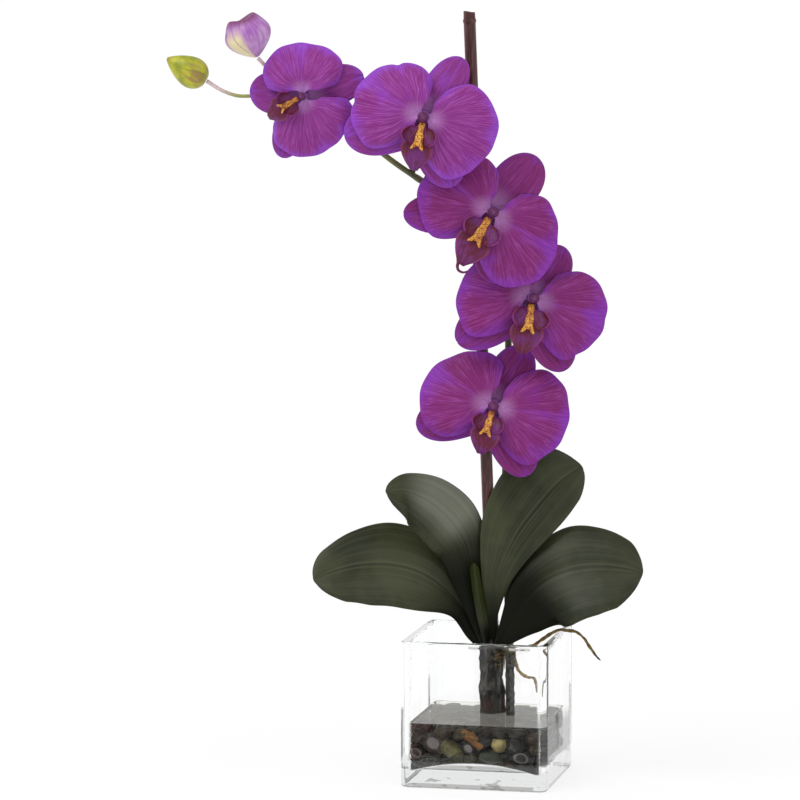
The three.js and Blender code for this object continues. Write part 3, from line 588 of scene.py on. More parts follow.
# %% Petal, column, lip and callus finishes
def petal_finish(name, seed, magenta, violet, lilac):
    f = Finish(name, Roughness=0.55, Specular_IOR_Level=0.2, Sheen_Weight=0.08, Sheen_Roughness=0.4)
    along, across = f.along_across()
    veins = abs(f.noise(f.point(across * 70, along * 1.1, seed), detail=2, rough=0.6) - 0.5)
    hairs = abs(f.noise(f.point(across * 170, along * 2.4, seed + 4), detail=2) - 0.5)
    cloud = f.noise(scale=42, detail=2)
    middle = f.noise(f.point(across * 9, along * 1.5, seed + 9), detail=1)
    off_middle = abs(across - 0.48)
    violet_share = (along.rise(0.5, 1.0) * 0.8 + off_middle.rise(0.34, 0.5) * 0.5
                    + off_middle.fall(0.0, 0.09) * 0.35 + (cloud - 0.5) * 1.6 + (middle - 0.5) * 0.9)
    colour = f.paint(
        f.mix(violet_share.rise(0.05, 0.95), magenta, violet),
        (veins.rise(0.06, 0.16) * 0.25, tuple(0.6 * x for x in magenta)))
    pale = veins.fall(0.0, 0.045) * (along.fall(0.2, 1.1) * 0.35 + 0.16) + hairs.fall(0.0, 0.05) * 0.2
    colour = f.mix(pale, colour, lilac)
    claw = along.fall(0.03, 0.24) * (hairs.fall(0.0, 0.1) * 0.4 + 0.6)
    colour = f.mix(claw * 0.8, colour, shade(212, 158, 222))
    return f.wear(Base_Color=colour, Normal=f.bump((veins + hairs * 0.5) * -1, 0.5),
                  Roughness=cloud * 0.2 + 0.45)


PETAL = petal_finish("petal", 1.7, shade(122, 28, 100), shade(128, 44, 164), shade(170, 90, 182))
PETAL_LIGHT = petal_finish("petal_light", 6.1, shade(134, 38, 126), shade(138, 58, 186), shade(180, 108, 202))


def column_finish():
    f = Finish("column", Roughness=0.4, Specular_IOR_Level=0.3)
    along, _ = f.along_across()
    spots = f.noise(scale=700, detail=2)
    colour = f.paint(
        f.mix(along.rise(0.5, 0.62), shade(150, 92, 170), shade(188, 146, 204)),
        (along.rise(0.7, 0.8), shade(88, 26, 78)),
        (along.rise(0.93, 0.99) * 0.15, shade(170, 130, 180)))
    return f.wear(Base_Color=f.mix(spots.rise(0.5, 0.7) * 0.4, colour, shade(70, 20, 66)),
                  Normal=f.bump(spots, 0.15))


def lip_finish():
    f = Finish("lip", Roughness=0.4, Specular_IOR_Level=0.3)
    along, across = f.along_across()
    veins = f.noise(f.point(across * 22, along * 3, 2.0), detail=3)
    cloud = f.noise(scale=110, detail=2)
    rim = abs(across - 0.5).rise(0.36, 0.5)
    colour = f.paint(
        f.mix(cloud.rise(0.4, 0.62), shade(96, 18, 50), shade(108, 36, 108)),
        (rim * 0.4, shade(158, 66, 116)),
        (veins.rise(0.54, 0.68) * 0.3, shade(144, 66, 140)))
    return f.wear(Base_Color=f.mix(veins.fall(0.34, 0.46) * 0.5, colour, shade(56, 10, 32)),
                  Normal=f.bump(veins, 0.4))


def callus_finish():
    f = Finish("callus", Roughness=0.42, Coat_Weight=0.15, Coat_Roughness=0.3)
    specks = f.noise(scale=1000, detail=1)
    cloud = f.noise(scale=260, detail=2)
    colour = f.mix(cloud.rise(0.35, 0.65), shade(190, 118, 26), shade(232, 170, 58))
    return f.wear(Base_Color=f.mix(specks.rise(0.52, 0.6) * 0.9, colour, shade(112, 22, 24)),
                  Normal=f.bump(cloud, 0.3))


COLUMN, LIP, CALLUS = column_finish(), lip_finish(), callus_finish()

# %% Make the blooms
for number, bloom in enumerate(BLOOMS, 1):
    to_plant = bloom_matrix(bloom)
    tepals = [petal_surface(bloom["left"], bloom["wave"], bloom["dents"][0]),
              petal_surface(bloom["right"], bloom["wave"] + 1.7, bloom["dents"][1]),
              sepal_surface(bloom["dorsal"], bloom["wave"])]
    tepals += [sepal_surface(s, bloom["wave"] + k) for k, s in enumerate(bloom["sepals"], 1)]
    tepals.append(column_skin(bloom["size"]))
    petal = PETAL_LIGHT if number < 3 else PETAL
    finished(f"tepals_{number}", [moved(t, to_plant) for t in tepals], [petal, COLUMN],
             f"bloom_{number}_petals")
    to_lip = to_plant @ lip_matrix(bloom["lip"])
    lobes = [middle_lobe(), side_lobe(1), side_lobe(-1)] + [tendril()] * bool(bloom.get("hook"))
    finished(f"lip_lobes_{number}", [moved(t, to_lip) for t in lobes], [LIP], f"bloom_{number}_lip")
    finished(f"lip_ridge_{number}", [moved(t, to_lip) for t in callus_skins()], [CALLUS],
             f"bloom_{number}_callus")

# %% [markdown]
# ## Flower spike and its stalks
# The spike is one living stem that climbs behind the blooms and arches over to the left. It swells a little
# at its joints, where a small dry scale hugs each stalk. Below the leaves it is as rough and dark as the
# stump.

# %% Stem, stalks and scales
SPIKE_PATH = [[16.1, 0, 26], [16.1, 0, 43.9], [15.3, -1, 88.7], [14.4, -4, 130.5], [12.6, -8, 213.5],
              [13.8, -6, 262], [13.6, 2, 311], [10, 10, 338.8], [2.3, 15, 363], [-8.7, 19.5, 381.8],
              [-24.4, 26, 401], [-44.8, 33, 414], [-68, 37.5, 430.2], [-93.5, 38, 451.6],
              [-115.5, 36, 465.8], [-134, 33.5, 471.8]]
BUD_STALKS = [
    [[-126, 34.5, 469.5], [-139, 33.5, 478], [-149.4, 35, 490.5], [-155.8, 36, 497.3]],
    [[-126, 34.5, 469.5], [-145, 33, 472], [-160, 33, 471.8], [-170, 32, 472], [-180, 32, 475.4],
     [-190.6, 32, 481.9]],
]


def stem_skin():
    """Radius falls evenly from 3.1 to 1.7 mm, with small swellings at the joints and a rough, barky skin
    on the lowest part, a sum of sines along and around it."""
    rows, sides = 420, 24
    path = smooth_path(upright(SPIKE_PATH), rows)
    s = down(rows)
    angle = full_turn(sides)
    joints = sum(0.35 * np.exp(-((s - at) / 0.006) ** 2) for at in (0.3, 0.43, 0.56, 0.68, 0.8, 0.9))
    rough = 1 - ramp01(path[:, 2:3], 84, 92)
    bark = 0.22 * np.sin(3 * angle + 40 * s) + 0.2 * np.sin(5 * angle - 260 * s) + 0.16 * np.sin(2 * angle + 530 * s)
    return tube(path, 3.1 - 1.4 * s + joints + rough * bark, sides, tone=s, bark=rough)


def scale_leaf(point, way, size):
    """A small pointed scale that wraps a third of the stem below a stalk."""
    a = down(14)
    b = over(13)
    way = unit(np.array(way, float))
    out, side = square_to(way, (0.3, 0.9, 0.2))
    turn = b * 1.25 * np.sqrt(np.maximum(1 - a**1.6, 0.002))
    radius = size * (1 + 0.25 * a)
    grid = (np.array(point, float) + way * (size * (3.4 * a - 1))[..., None]
            + out * (radius * np.cos(turn))[..., None] + side * (radius * np.sin(turn))[..., None])
    made = blade(grid, 0.35)
    return {**made, "marks": dict(tone=np.full((len(made["points"]), 1), 0.6))}


def stalk_skin(points, radius, pale):
    path = smooth_path(points, 48)
    s = np.linspace(0, 1, 48)
    return tube(path, radius * (1 + 0.18 * (2 * s - 1) ** 2), 16, tone=0.55 + (pale - 0.55) * s[:, None], bark=0.0)


def stem_finish():
    """Dark green, paler and pinker towards the bud stalks, with fine lines along it."""
    f = Finish("stem", Roughness=0.42, Specular_IOR_Level=0.45)
    along, across = f.along_across()
    tone, bark = f.attribute("tone"), f.attribute("bark")
    lines = f.noise(f.point(across * 26, along * 30, 1.0), detail=3)
    cloud = f.noise(scale=90, detail=3)
    colour = f.paint(
        f.mix(cloud.rise(0.35, 0.65), shade(66, 70, 38), shade(98, 96, 56)),
        (tone.rise(0.7, 1.3), shade(150, 150, 82)),
        (tone.rise(1.5, 2.0), shade(226, 200, 206)),
        (lines.rise(0.5, 0.65) * 0.35, shade(128, 122, 80)))
    speck = f.noise(scale=520, detail=4)
    rind = f.mix(speck.rise(0.4, 0.66), shade(22, 22, 21), shade(72, 70, 64))
    colour = f.mix(bark, colour, rind)
    return f.wear(Base_Color=colour, Roughness=bark * 0.4 + 0.42,
                  Normal=f.bump(lines * 0.3 + speck * bark * 1.5, 0.5))


stems = [stem_skin()]
for bloom in BLOOMS:
    hold = bloom_matrix(bloom)
    ends = [list(hold @ Vector((0, 0, z * bloom["size"]))) for z in (-9, -4)]
    route = np.vstack([upright(bloom["stalk"]), ends])
    stems.append(stalk_skin(route, 1.4, 0.75))
    stems.append(scale_leaf(route[0], route[1] - route[0], 2.2))
stems += [stalk_skin(upright(stalk), 1.2, 2.1) for stalk in BUD_STALKS]
finished("flower_stem", stems, [stem_finish()], "flower_spike")

# %% [markdown]
# ## Leaves
# A strap leaf is two bellied halves that meet in a groove. Its stations say where the midrib runs, how wide
# each half is and how far the blade leans back. The surface carries that profile along the midrib.

# %% Leaf surfaces
LEAVES = {
    "leaf_low_left": [
        [-1, -11.5, 88, 4, 4, 0], [-8, -9.5, 99, 7, 6.5, 0], [-18.2, -5, 118.6, 12, 10.5, 15],
        [-34.5, 2, 135.6, 21.5, 23, 24], [-50, 8, 145.2, 28.5, 28.5, 27], [-68, 14, 150, 30.5, 30, 28],
        [-88, 20, 150.5, 25, 29.5, 28], [-105.5, 25.5, 147, 17.5, 24, 28], [-118.8, 29, 141.8, 11.5, 17.5, 28]],
    "leaf_upper_left": [
        [-0.5, -7, 90, 3.3, 3.3, 0], [-4.3, -5.2, 103, 3.5, 5, 0], [-6.8, -3.5, 120, 5, 9.5, 5],
        [-9.8, -1.2, 139, 8.5, 15, 8], [-15.3, 3, 163.5, 15.5, 21, 12], [-24.9, 8, 178.2, 20.5, 23, 16],
        [-39.1, 14, 192.2, 19.5, 23.5, 24], [-54, 21, 200.6, 14.5, 22.5, 32], [-69.8, 29, 203, 9, 17, 38]],
    "leaf_upper_right": [
        [5.2, -6.5, 89, 3.2, 3.2, 0], [3.2, -0.6, 103, 2.5, 3, 0], [3.4, 2.2, 118, 5, 5, 0],
        [7.2, 4.5, 141, 12, 10, 0], [14.2, 5, 158, 21.5, 14, 0], [22.5, 4.5, 172.5, 29, 17.5, 2],
        [37, 2, 191, 34, 19.5, 5], [50, -1, 205.2, 31, 18, 8], [64.2, -6, 215.8, 19.5, 13, 10]],
    "leaf_low_right": [
        [7, -6.5, 87, 3.3, 3.3, 0], [9.8, 4.4, 95, 4.5, 5.5, 0], [18.5, 6.5, 113, 9, 20, 12],
        [30, 8, 130.5, 17, 33, 24], [43.5, 10, 140.6, 26.2, 38.3, 30], [60, 13, 146.8, 32, 38.3, 32],
        [77, 15.5, 148.8, 28.8, 35.8, 32], [92, 17.5, 148, 22, 30.5, 32], [105.5, 19, 145.5, 12.5, 22.5, 32]],
}


def leaf_surface(stations, belly=7, rows=110, cols=44):
    """Midrib point + w x half width sideways + a lift of belly x (|w| - 0.9 w squared). The tip rounds off
    bluntly, as the square root of one minus a power. The sideways direction leans back by the tilt."""
    table = np.array(stations, float)
    hand = 1 if table[-1, 0] < table[0, 0] else -1
    s = 1 - (1 - np.linspace(0, 1, rows)) ** 1.7
    centre = smooth_path(upright(table[:, :3]), s)
    along = unit(np.gradient(centre, s, axis=0))
    face = unit(np.array([0, -1, 0]) + along * along[:, 1:2])
    side = np.cross(along, face) * hand
    tilt = np.radians(between(table[:, 5], s))[:, None]
    far = side * np.cos(tilt) - face * np.sin(tilt)
    out = np.cross(far, along) * hand
    tip = np.sqrt(np.maximum(1 - np.maximum((s - 0.88) / 0.12, 0) ** 2.4, 0.0005))[:, None]
    w = over(cols + 1)
    reach = np.where(w > 0, between(table[:, 3], s)[:, None], between(table[:, 4], s)[:, None]) * tip
    size = np.minimum(reach / 20, 1)
    groove = np.sqrt(w**2 + 0.0012) - 0.035
    lift = (belly * (groove - 0.9 * w**2) + 0.35 * np.sin(5 * s[:, None] + 2.1 * w) * w**2
            + 0.22 * np.sin(38 * w) * (1 - w**2) * 0.35) * size
    grid = centre[:, None] + far[:, None] * (w * reach)[..., None] + out[:, None] * lift[..., None]
    return blade(grid, 1.5 - 0.8 * ramp01(np.abs(w), 0.8, 1) * np.ones((rows, 1)))


def young_leaf_surface(rows=60, cols=28):
    """A narrow boat: half width x w sideways, half width x |w| backwards and a little up."""
    s = np.linspace(0, 1, rows)
    centre = smooth_path(upright([[0.6, -5, 90], [-1.8, 3, 103], [-4.6, 6, 117], [-7.2, 7.6, 132],
                                  [-9.6, 8.6, 150.5]]), s)
    half = 3.6 * np.sin(np.pi * (0.22 + 0.56 * s)) ** 0.6 + 0.4
    half = (half * np.sqrt(np.minimum((1.0001 - s) / 0.06, 1)))[:, None]
    w = over(cols + 1)
    fold = np.sqrt(w**2 + 0.01) - 0.1
    shift = grid_of(half * w * 0.9, half * fold * 0.85, half * fold * 0.15)
    return blade(centre[:, None] + shift, 1.2 - 0.6 * ramp01(np.abs(w), 0.7, 1) * np.ones((rows, 1)))


# %% [markdown]
# ### Leaf colour
# The upper face is a dark grey-green with a satin bloom on it. Fine parallel veins run the whole length, the
# midrib's groove gets painted shade and its lip a painted highlight, and dust and growth make slow changes of
# tone. The foot of each leaf gets painted shade, and the bend of one leaf a painted sheen.

# %% Leaf finishes
def leaf_finish(name, seed, tone, shade_ends, deep, fresh, worn, bend=(0.0, 0.0)):
    """tone scales all colours; the number after tone says where the painted shade at the leaf's foot ends, bend which
    stretch gets a painted sheen.
    """
    f = Finish(name, Roughness=0.4, Specular_IOR_Level=0.08, Coat_Roughness=0.4)
    deep, fresh, worn = (tuple(tone * x for x in c) for c in (deep, fresh, worn))
    along, across = f.along_across()
    veins = f.noise(f.point(across * 60, along * 1.5, seed), detail=3)
    ribs = f.noise(f.point(across * 15, along * 0.7, seed + 3), detail=1)
    cloud = f.noise(scale=26, detail=3)
    grain = f.noise(scale=900, detail=2)
    off_middle = abs(across - 0.5)
    colour = f.paint(
        f.mix(cloud.rise(0.34, 0.66), deep, fresh),
        (veins.rise(0.5, 0.64) * 0.16 + ribs.rise(0.5, 0.62) * 0.1, worn),
        # painted shade in the midrib's groove, then a painted highlight along its lip
        (off_middle.fall(0.0, 0.02) * 0.45, tuple(0.4 * x for x in deep)),
        (off_middle.rise(0.018, 0.03) * off_middle.fall(0.03, 0.055) * 0.35, worn),
        (off_middle.rise(0.485, 0.5) * 0.3, worn))
    # painted sheen: a pale grey band over the stretch where the leaf bends towards the light
    if bend[1]:
        painted_sheen = along.rise(bend[0] - 0.12, bend[0]) * along.fall(bend[1], bend[1] + 0.2) * across.rise(0.1, 0.5)
        colour = f.mix(painted_sheen * (ribs * 0.5 + 0.5) * 0.85, colour, shade(124, 126, 114))
    # painted shade: the foot of each leaf, deep among the others, is painted nearly black and given less gloss
    foot = along.fall(shade_ends - 0.2, shade_ends)
    colour = f.mix(foot * 0.92, colour, tuple(0.15 * x for x in deep))
    return f.wear(Base_Color=colour, Roughness=0.36 + cloud * 0.2 + grain * 0.08, Coat_Weight=0.3 - foot * 0.28,
                  Normal=f.bump(veins * 0.3 + ribs * 0.5 + grain * 0.06, 0.4))


GREENS = shade(34, 38, 21), shade(56, 60, 38), shade(84, 86, 66)
LEAF_FINISHES = {"leaf_low_left": leaf_finish("leaf_1", 2.0, 1.12, 0.32, *GREENS),
                 "leaf_upper_left": leaf_finish("leaf_2", 9.0, 1.1, 0.44, *GREENS, bend=(0.44, 0.58)),
                 "leaf_upper_right": leaf_finish("leaf_3", 14.0, 1.12, 0.3, *GREENS),
                 "leaf_low_right": leaf_finish("leaf_4", 21.0, 0.95, 0.42, *GREENS)}
YOUNG = leaf_finish("young_leaf", 5.0, 0.4, 0.4, shade(38, 46, 8), shade(58, 70, 14), shade(92, 104, 38))
for name, stations in LEAVES.items():
    finished(name.replace("leaf_", "strap_leaf_"), [leaf_surface(stations)], [LEAF_FINISHES[name]], name)
finished("folded_leaf", [young_leaf_surface()], [YOUNG], "leaf_young")

# %% [markdown]
# ## Stake
# A straight glossy cane leans against the spike. It is cut at a slant and has a raised ring just below the
# cut. Long streaks run down it.

# %% Stake
STAKE_FOOT, STAKE_TOP, STAKE_RADIUS = upright([5.8, -14.6, 60]), upright([-13.6, 24.5, 528]), 4.1


def stake_skin(sides=40):
    """Radius 4.1 mm with rings at the joints; the last rows close in over the slanted cut."""
    way = STAKE_TOP - STAKE_FOOT
    length = np.linalg.norm(way)
    down = np.array([0, 0.4, 0.9, 1.6, 4.2, 4.8, 5.4, 6, 6.6, 7.2, 7.8, 9, 40, 120, 200, 221, 222, 223, 224, 226,
                     300, 400, 440, length])[::-1]
    ring = 0.12 * np.exp(-((down - 6) / 1.1) ** 2) + 0.05 * np.exp(-((down - 223) / 1.2) ** 2)
    radius = STAKE_RADIUS * (1 + ring - 0.03 * (down < 4.5) - 0.05 * (down < 0.3))
    path = STAKE_FOOT + (way / length) * (length - down)[:, None]
    path = np.vstack([path, path[-1:], path[-1:]])
    radius = np.concatenate([radius, [STAKE_RADIUS * 0.7, STAKE_RADIUS * 0.62]])
    frame_way = way / length
    side, other = square_to(frame_way)
    angle = np.arange(sides) / sides * 2 * np.pi
    slant = np.array([0.25 if d < 0.3 else 0 for d in down] + [0.25, 0.25])[:, None]
    sink = np.array([0.0] * len(down) + [0.0, 1.2])[:, None]
    across = radius[:, None] * np.cos(angle)[None, :]
    grid = (path[:, None] + across[..., None] * side + (radius[:, None] * np.sin(angle))[..., None] * other
            + (slant * across - sink)[..., None] * frame_way)
    return skin(grid, wrap=True, caps=True)


def cane_finish():
    """Red-brown, with long dark and light streaks along it and a thin coat of gloss."""
    f = Finish("cane", Roughness=0.34, Specular_IOR_Level=0.35, Coat_Weight=0.15, Coat_Roughness=0.18)
    x, y, z = f.axes(f.place())
    streak = f.noise(f.point(x * 900, y * 900, z * 9), detail=3)
    broad = f.noise(f.point(x * 260, y * 260, z * 5), detail=2)
    colour = f.paint(
        f.mix(broad.rise(0.38, 0.62), shade(60, 24, 22), shade(88, 46, 42)),
        (streak.rise(0.52, 0.66) * 0.4, shade(122, 84, 76)),
        (streak.fall(0.36, 0.46) * 0.5, shade(26, 13, 14)))
    return f.wear(Base_Color=colour, Normal=f.bump(streak, 0.25))


finished("cane_stake", [stake_skin()], [cane_finish()], "stake", sharp=40)

# %% [markdown]
# ## Stump and air roots
# The leaves grow out of a dark stump that is rough like bark, wrapped at its top with tan fibres. Two air
# roots leave it: one climbs over the rim of the vase, one hangs inside.

# %% Stump with its fibres
CROWN_AXIS, CROWN_FOOT, CROWN_TOP = (3.6, -12), 24, 97
CROWN_RADII = [8.9, 8.7, 9.1, 8.3, 8.7, 9.0, 7.6, 8.0, 8.8, 8.2, 4.6]


def stump_skin(rows=150, cols=96):
    """The table of radii turned about the stump's axis, times 1 + 0.07 sin of three lobes, with torn plates:
    sums of sines in the angle and the height."""
    share = down(rows)
    angle = full_turn(cols)
    radius = between(CROWN_RADII, share) * (1 + 0.07 * np.sin(3 * angle + 7 * share) * (share < 0.98))
    plates = (0.26 * np.sin(11 * angle + 21 * share + 2 * np.sin(9 * share)) + 0.2 * np.sin(29 * share + 4 * angle)
              + 0.2 * np.sin(19 * angle - 33 * share) + 0.14 * np.sin(71 * share + 7 * angle))
    torn = 0.5 * np.tanh(2.5 * np.sin(4 * angle + 9 * share + 1.5 * np.sin(2 * angle + 13 * share)))
    r = radius + plates - 0.25 + 0.6 * torn
    grid = grid_of(
        CROWN_AXIS[0] + r * np.cos(angle), -CROWN_AXIS[1] + r * np.sin(angle),
        CROWN_FOOT + (CROWN_TOP - CROWN_FOOT) * share)
    return skin(grid, wrap=True, caps=True, height=share)


def sheath_skin():
    """What is left of old leaf bases above the stump: a narrowing tube with pleats round it."""
    s = np.linspace(0, 1, 40)
    angle = full_turn(48)
    path = smooth_path(upright([[3.4, -11.5, 90], [2.6, -9, 99], [1.4, -6, 108], [0.8, -2, 117]]), 40)
    radius = (7.6 - 2.4 * s)[:, None] * (1 + 0.06 * np.sin(5 * angle + 2 * s[:, None]) + 0.02 * np.sin(13 * angle))
    return {**tube(path, radius, 48, height=0.0), "finish": 2}


def fibre_skins(count=34):
    """Thin strands that wander round the stump's top: the angle drifts and the height waves."""
    lots = draws(11)
    strands = []
    for _ in range(count):
        start, drift, high = lots.uniform(-1.3, 0.3), lots.uniform(0.3, 1.1), lots.uniform(78, 94)
        fall = lots.uniform(-16, 6)
        s = np.linspace(0, 1, 30)
        angle = start + drift * s + 0.2 * np.sin(6 * s + start)
        z = high + fall * s + 0.8 * np.sin(9 * s + start)
        r = between(CROWN_RADII, np.clip((z - CROWN_FOOT) / (CROWN_TOP - CROWN_FOOT), 0, 1)) + 0.6
        path = np.stack([CROWN_AXIS[0] + r * np.cos(angle), -CROWN_AXIS[1] + r * np.sin(angle), z], -1)
        strands.append({**tube(path, 0.28 * (1 - 0.6 * s), 6, lean=(0, 0, 1), height=1.0), "finish": 1})
    return strands


def stump_finish():
    """Charcoal bark with grey torn edges, reddish plates low on one side and a brown cast near the top."""
    f = Finish("stump", Roughness=0.85, Specular_IOR_Level=0.3)
    x, y, z = f.axes(f.place())
    height = f.attribute("height")
    plates = f.noise(f.point(x * 160, y * 160, z * 90), detail=4, rough=0.6, warp=0.4)
    grit = f.noise(scale=800, detail=3)
    colour = f.mix(plates.rise(0.4, 0.6), shade(20, 19, 18), shade(66, 65, 61))
    red = f.noise(scale=70, detail=1).rise(0.5, 0.6) * height.fall(0.35, 0.6)
    colour = f.mix(red * 0.5, colour, shade(78, 44, 40))
    brown = height.rise(0.7, 0.9) * (x + y * 0.2).rise(0.002, 0.01) * plates.rise(0.36, 0.62)
    colour = f.paint(
        colour,
        (brown * 0.75, shade(104, 84, 54)),
        (grit.rise(0.58, 0.72) * 0.3, shade(112, 108, 98)))
    return f.wear(Base_Color=colour, Normal=f.bump(plates + grit * 0.3, 1.2))


def sheath_finish():
    """Dark red-brown with fine lines along it."""
    f = Finish("sheath", Roughness=0.5, Specular_IOR_Level=0.3)
    along, across = f.along_across()
    lines = f.noise(f.point(across * 40, along * 2, 3.0), detail=3)
    colour = f.mix(lines.rise(0.4, 0.6), shade(24, 14, 13), shade(52, 30, 27))
    return f.wear(Base_Color=colour, Normal=f.bump(lines, 0.4))


def root_finish():
    """Brown and olive rind with darker knots; the tips are nearly black."""
    f = Finish("root", Roughness=0.7, Specular_IOR_Level=0.35)
    along, across = f.along_across()
    knots = f.noise(f.point(along * 34, across * 3, 1.0), detail=2)
    grain = f.noise(scale=900, detail=3)
    colour = f.paint(
        f.mix(knots.rise(0.36, 0.6), shade(70, 56, 26), shade(142, 118, 62)),
        (grain.rise(0.5, 0.7) * 0.5, shade(168, 150, 104)),
        (along.rise(0.86, 0.97) * 0.9, shade(36, 30, 20)))
    return f.wear(Base_Color=colour, Normal=f.bump(grain + knots, 0.4))


ROOT = root_finish()
finished("stump", [stump_skin(), sheath_skin(), *fibre_skins()], [stump_finish(), ROOT, sheath_finish()],
         "crown")

ROOTS = {
    "root_over_rim": [[6, -15, 84], [16, -14, 86], [30.8, -9, 89.8], [38.6, -5, 95.6], [43.6, -2, 99.5],
                      [49.6, 0, 102.7], [55.4, 2, 102.6], [61.3, 4, 101.8], [66.3, 6, 98], [70.4, 8, 92],
                      [74.2, 9, 86.8], [77.8, 10, 82.8]],
    "root_in_vase": [[6, -10, 84], [12, -7.5, 88], [17.9, -6.5, 86.8], [19.2, -3, 81], [21.9, 0, 74],
                     [27.4, 3, 70.3], [31.8, 5, 69.9], [33.5, 6, 66.6], [34.2, 6, 59.6]],
}


def air_root(points, rows=150, sides=18):
    """Radius falls from 1.45 to 0.8 mm; knots and knobs are sums of sines along and around it."""
    s = down(rows)
    angle = full_turn(sides)
    radius = (1.45 - 0.65 * s + 0.15 * np.sin(31 * s) + 0.12 * np.sin(97 * s + 2 * angle)
              + 0.07 * np.sin(3 * angle - 61 * s)) * (1 - 0.75 * ramp01(s, 0.97, 1))
    return tube(smooth_path(upright(points), rows), radius, sides)


for name, points in ROOTS.items():
    finished(name.replace("root", "air_root"), [air_root(points)], [ROOT], name)

# %% [markdown]
# ## Buds
# A closed bud is a drop whose sepals meet in seams. The green one is still shut. The lilac one is about to
# open: its inner petals show dark at the tip between the pale outer ones.

# %% Bud surfaces
def bud_skin(base, tip, half, seams, bulge, peaks=0.0, rows=80, cols=120):
    """Radius = half x sin(pi s^bulge)^0.75, times a seam term |sin| of the angle that twists with s. Where
    peaks is set, the tip is sunk and the rim round it rises by that much on two sides."""
    base, tip = upright(base), upright(tip)
    way, reach = unit(tip - base), np.linalg.norm(tip - base)
    side, other = square_to(way)
    s = (0.02 + 0.965 * (0.5 - 0.5 * np.cos(np.pi * np.linspace(0, 1, rows))))[:, None]
    angle = full_turn(cols)
    twist = seams / 2 * angle + 1.4 * s
    girth = np.sin(np.pi * s**bulge) ** 0.75
    seam = 0.97 + 0.07 * np.abs(np.sin(twist)) ** 0.6 + 0.012 * np.sin(2 * twist + 1)
    r = half * girth * seam
    lift = peaks * (np.exp(-((s - 0.84) / 0.1) ** 2) * np.abs(np.cos(angle - 0.35)) ** 1.5 - 1.7 * ramp01(s, 0.86, 1))
    grid = (base + way * (s * reach + lift)[..., None] + side * (r * np.cos(angle))[..., None]
            + other * (r * np.sin(angle))[..., None])
    return skin(grid, wrap=True, caps=True, seam=np.abs(np.sin(twist)), height=s)


def green_bud_finish():
    f = Finish("green_bud", Roughness=0.45, Sheen_Weight=0.1, Coat_Weight=0.1, Coat_Roughness=0.4)
    along, across = f.along_across()
    seam = f.attribute("seam")
    streak = f.noise(f.point(across * 34, along * 2.2, 3.0), detail=3)
    cloud = f.noise(scale=120, detail=2)
    colour = f.mix(cloud.rise(0.35, 0.65), shade(142, 148, 8), shade(182, 182, 22))
    blush = f.noise(scale=75, detail=1).rise(0.48, 0.64) * streak.rise(0.42, 0.6)
    colour = f.paint(
        colour,
        (blush * 0.75, shade(150, 96, 74)),
        (streak.rise(0.55, 0.7) * 0.2, shade(200, 198, 70)),
        (seam.fall(0.0, 0.14) * 0.6, shade(104, 112, 26)))
    return f.wear(Base_Color=colour, Normal=f.bump(streak, 0.35))


def lilac_bud_finish():
    f = Finish("lilac_bud", Roughness=0.5, Sheen_Weight=0.15, Specular_IOR_Level=0.35)
    along, across = f.along_across()
    seam, height = f.attribute("seam"), f.attribute("height")
    veins = f.noise(f.point(across * 46, along * 2.4, 7.0), detail=3)
    cloud = f.noise(scale=90, detail=2)
    colour = f.paint(
        f.mix(cloud.rise(0.35, 0.65), shade(164, 104, 178), shade(196, 150, 202)),
        (veins.fall(0.38, 0.5) * 0.5, shade(134, 62, 156)))
    stripe = abs(across - 0.14).fall(0.04, 0.1) * height.fall(0.5, 0.8)
    colour = f.paint(
        colour,
        (stripe * 0.85, shade(236, 226, 168)),
        (height.rise(0.72, 0.86) * 0.85, shade(112, 24, 88)),
        (seam.fall(0.0, 0.16) * 0.6, shade(122, 50, 150)))
    return f.wear(Base_Color=colour, Normal=f.bump(veins, 0.3))


lilac = bud_skin((-156.2, 36, 497.6), (-167.8, 38, 526.6), half=15.6, seams=5, bulge=1.1, peaks=2.6)
green = bud_skin((-190.5, 32, 482), (-217.5, 34, 497.4), half=10.4, seams=3, bulge=0.66)
finished("lilac_bud", [lilac], [lilac_bud_finish()], "bud_lilac")
finished("green_bud", [green], [green_bud_finish()], "bud_green")

# %% [markdown]
# ## Vase
# The vase is one pressed block of clear glass with a thick, vaulted floor: it stands 7 mm higher in the middle
# of each side than in the corners. Its skin runs up the outside, over the rim, down the inside and over the
# vault. A few rings and columns lie close beside each rounded edge, so that the flat walls stay truly flat
# when the shading is smoothed: a bent normal would act as a lens.

# %% Vase skin
VASE = dict(half=51, height=100.8, wall=5, corner=5, inner_corner=4, rim=1.6, foot=2, edge=10, rise=7)
INNER = VASE["half"] - VASE["wall"]
FILLET = 1.2
QUARTER_TURN = np.radians([0, 22, 45, 68, 90])
VAULT_SHARES = (0.94, 0.86, 0.77, 0.67, 0.56, 0.45, 0.34, 0.23, 0.12)


def rounded_square(half, corner, z, per_corner=10):
    """Four quarter circles joined by flat sides, with a point near each end of every side."""
    turn = np.linspace(0, np.pi / 2, per_corner + 1)
    arc = np.stack([np.cos(turn), np.sin(turn)], -1) * corner + (half - corner)
    flat = (half - corner) * np.linspace(0.97, -0.97, 15)
    side = np.stack([flat, np.full(15, half)], -1)
    quarter = np.vstack([arc, side])
    turns = [np.array([[1, 0], [0, 1]]), np.array([[0, 1], [-1, 0]]), np.array([[-1, 0], [0, -1]]),
             np.array([[0, -1], [1, 0]])]
    ring = np.vstack([quarter @ t for t in turns])
    return np.hstack([ring, np.full((len(ring), 1), z)])


def floor_height(x, y):
    """The vault: 10 mm high in the corners and 7 mm higher where x or y is nought."""
    return VASE["edge"] + VASE["rise"] * (1 - (x * y / INNER**2) ** 2)


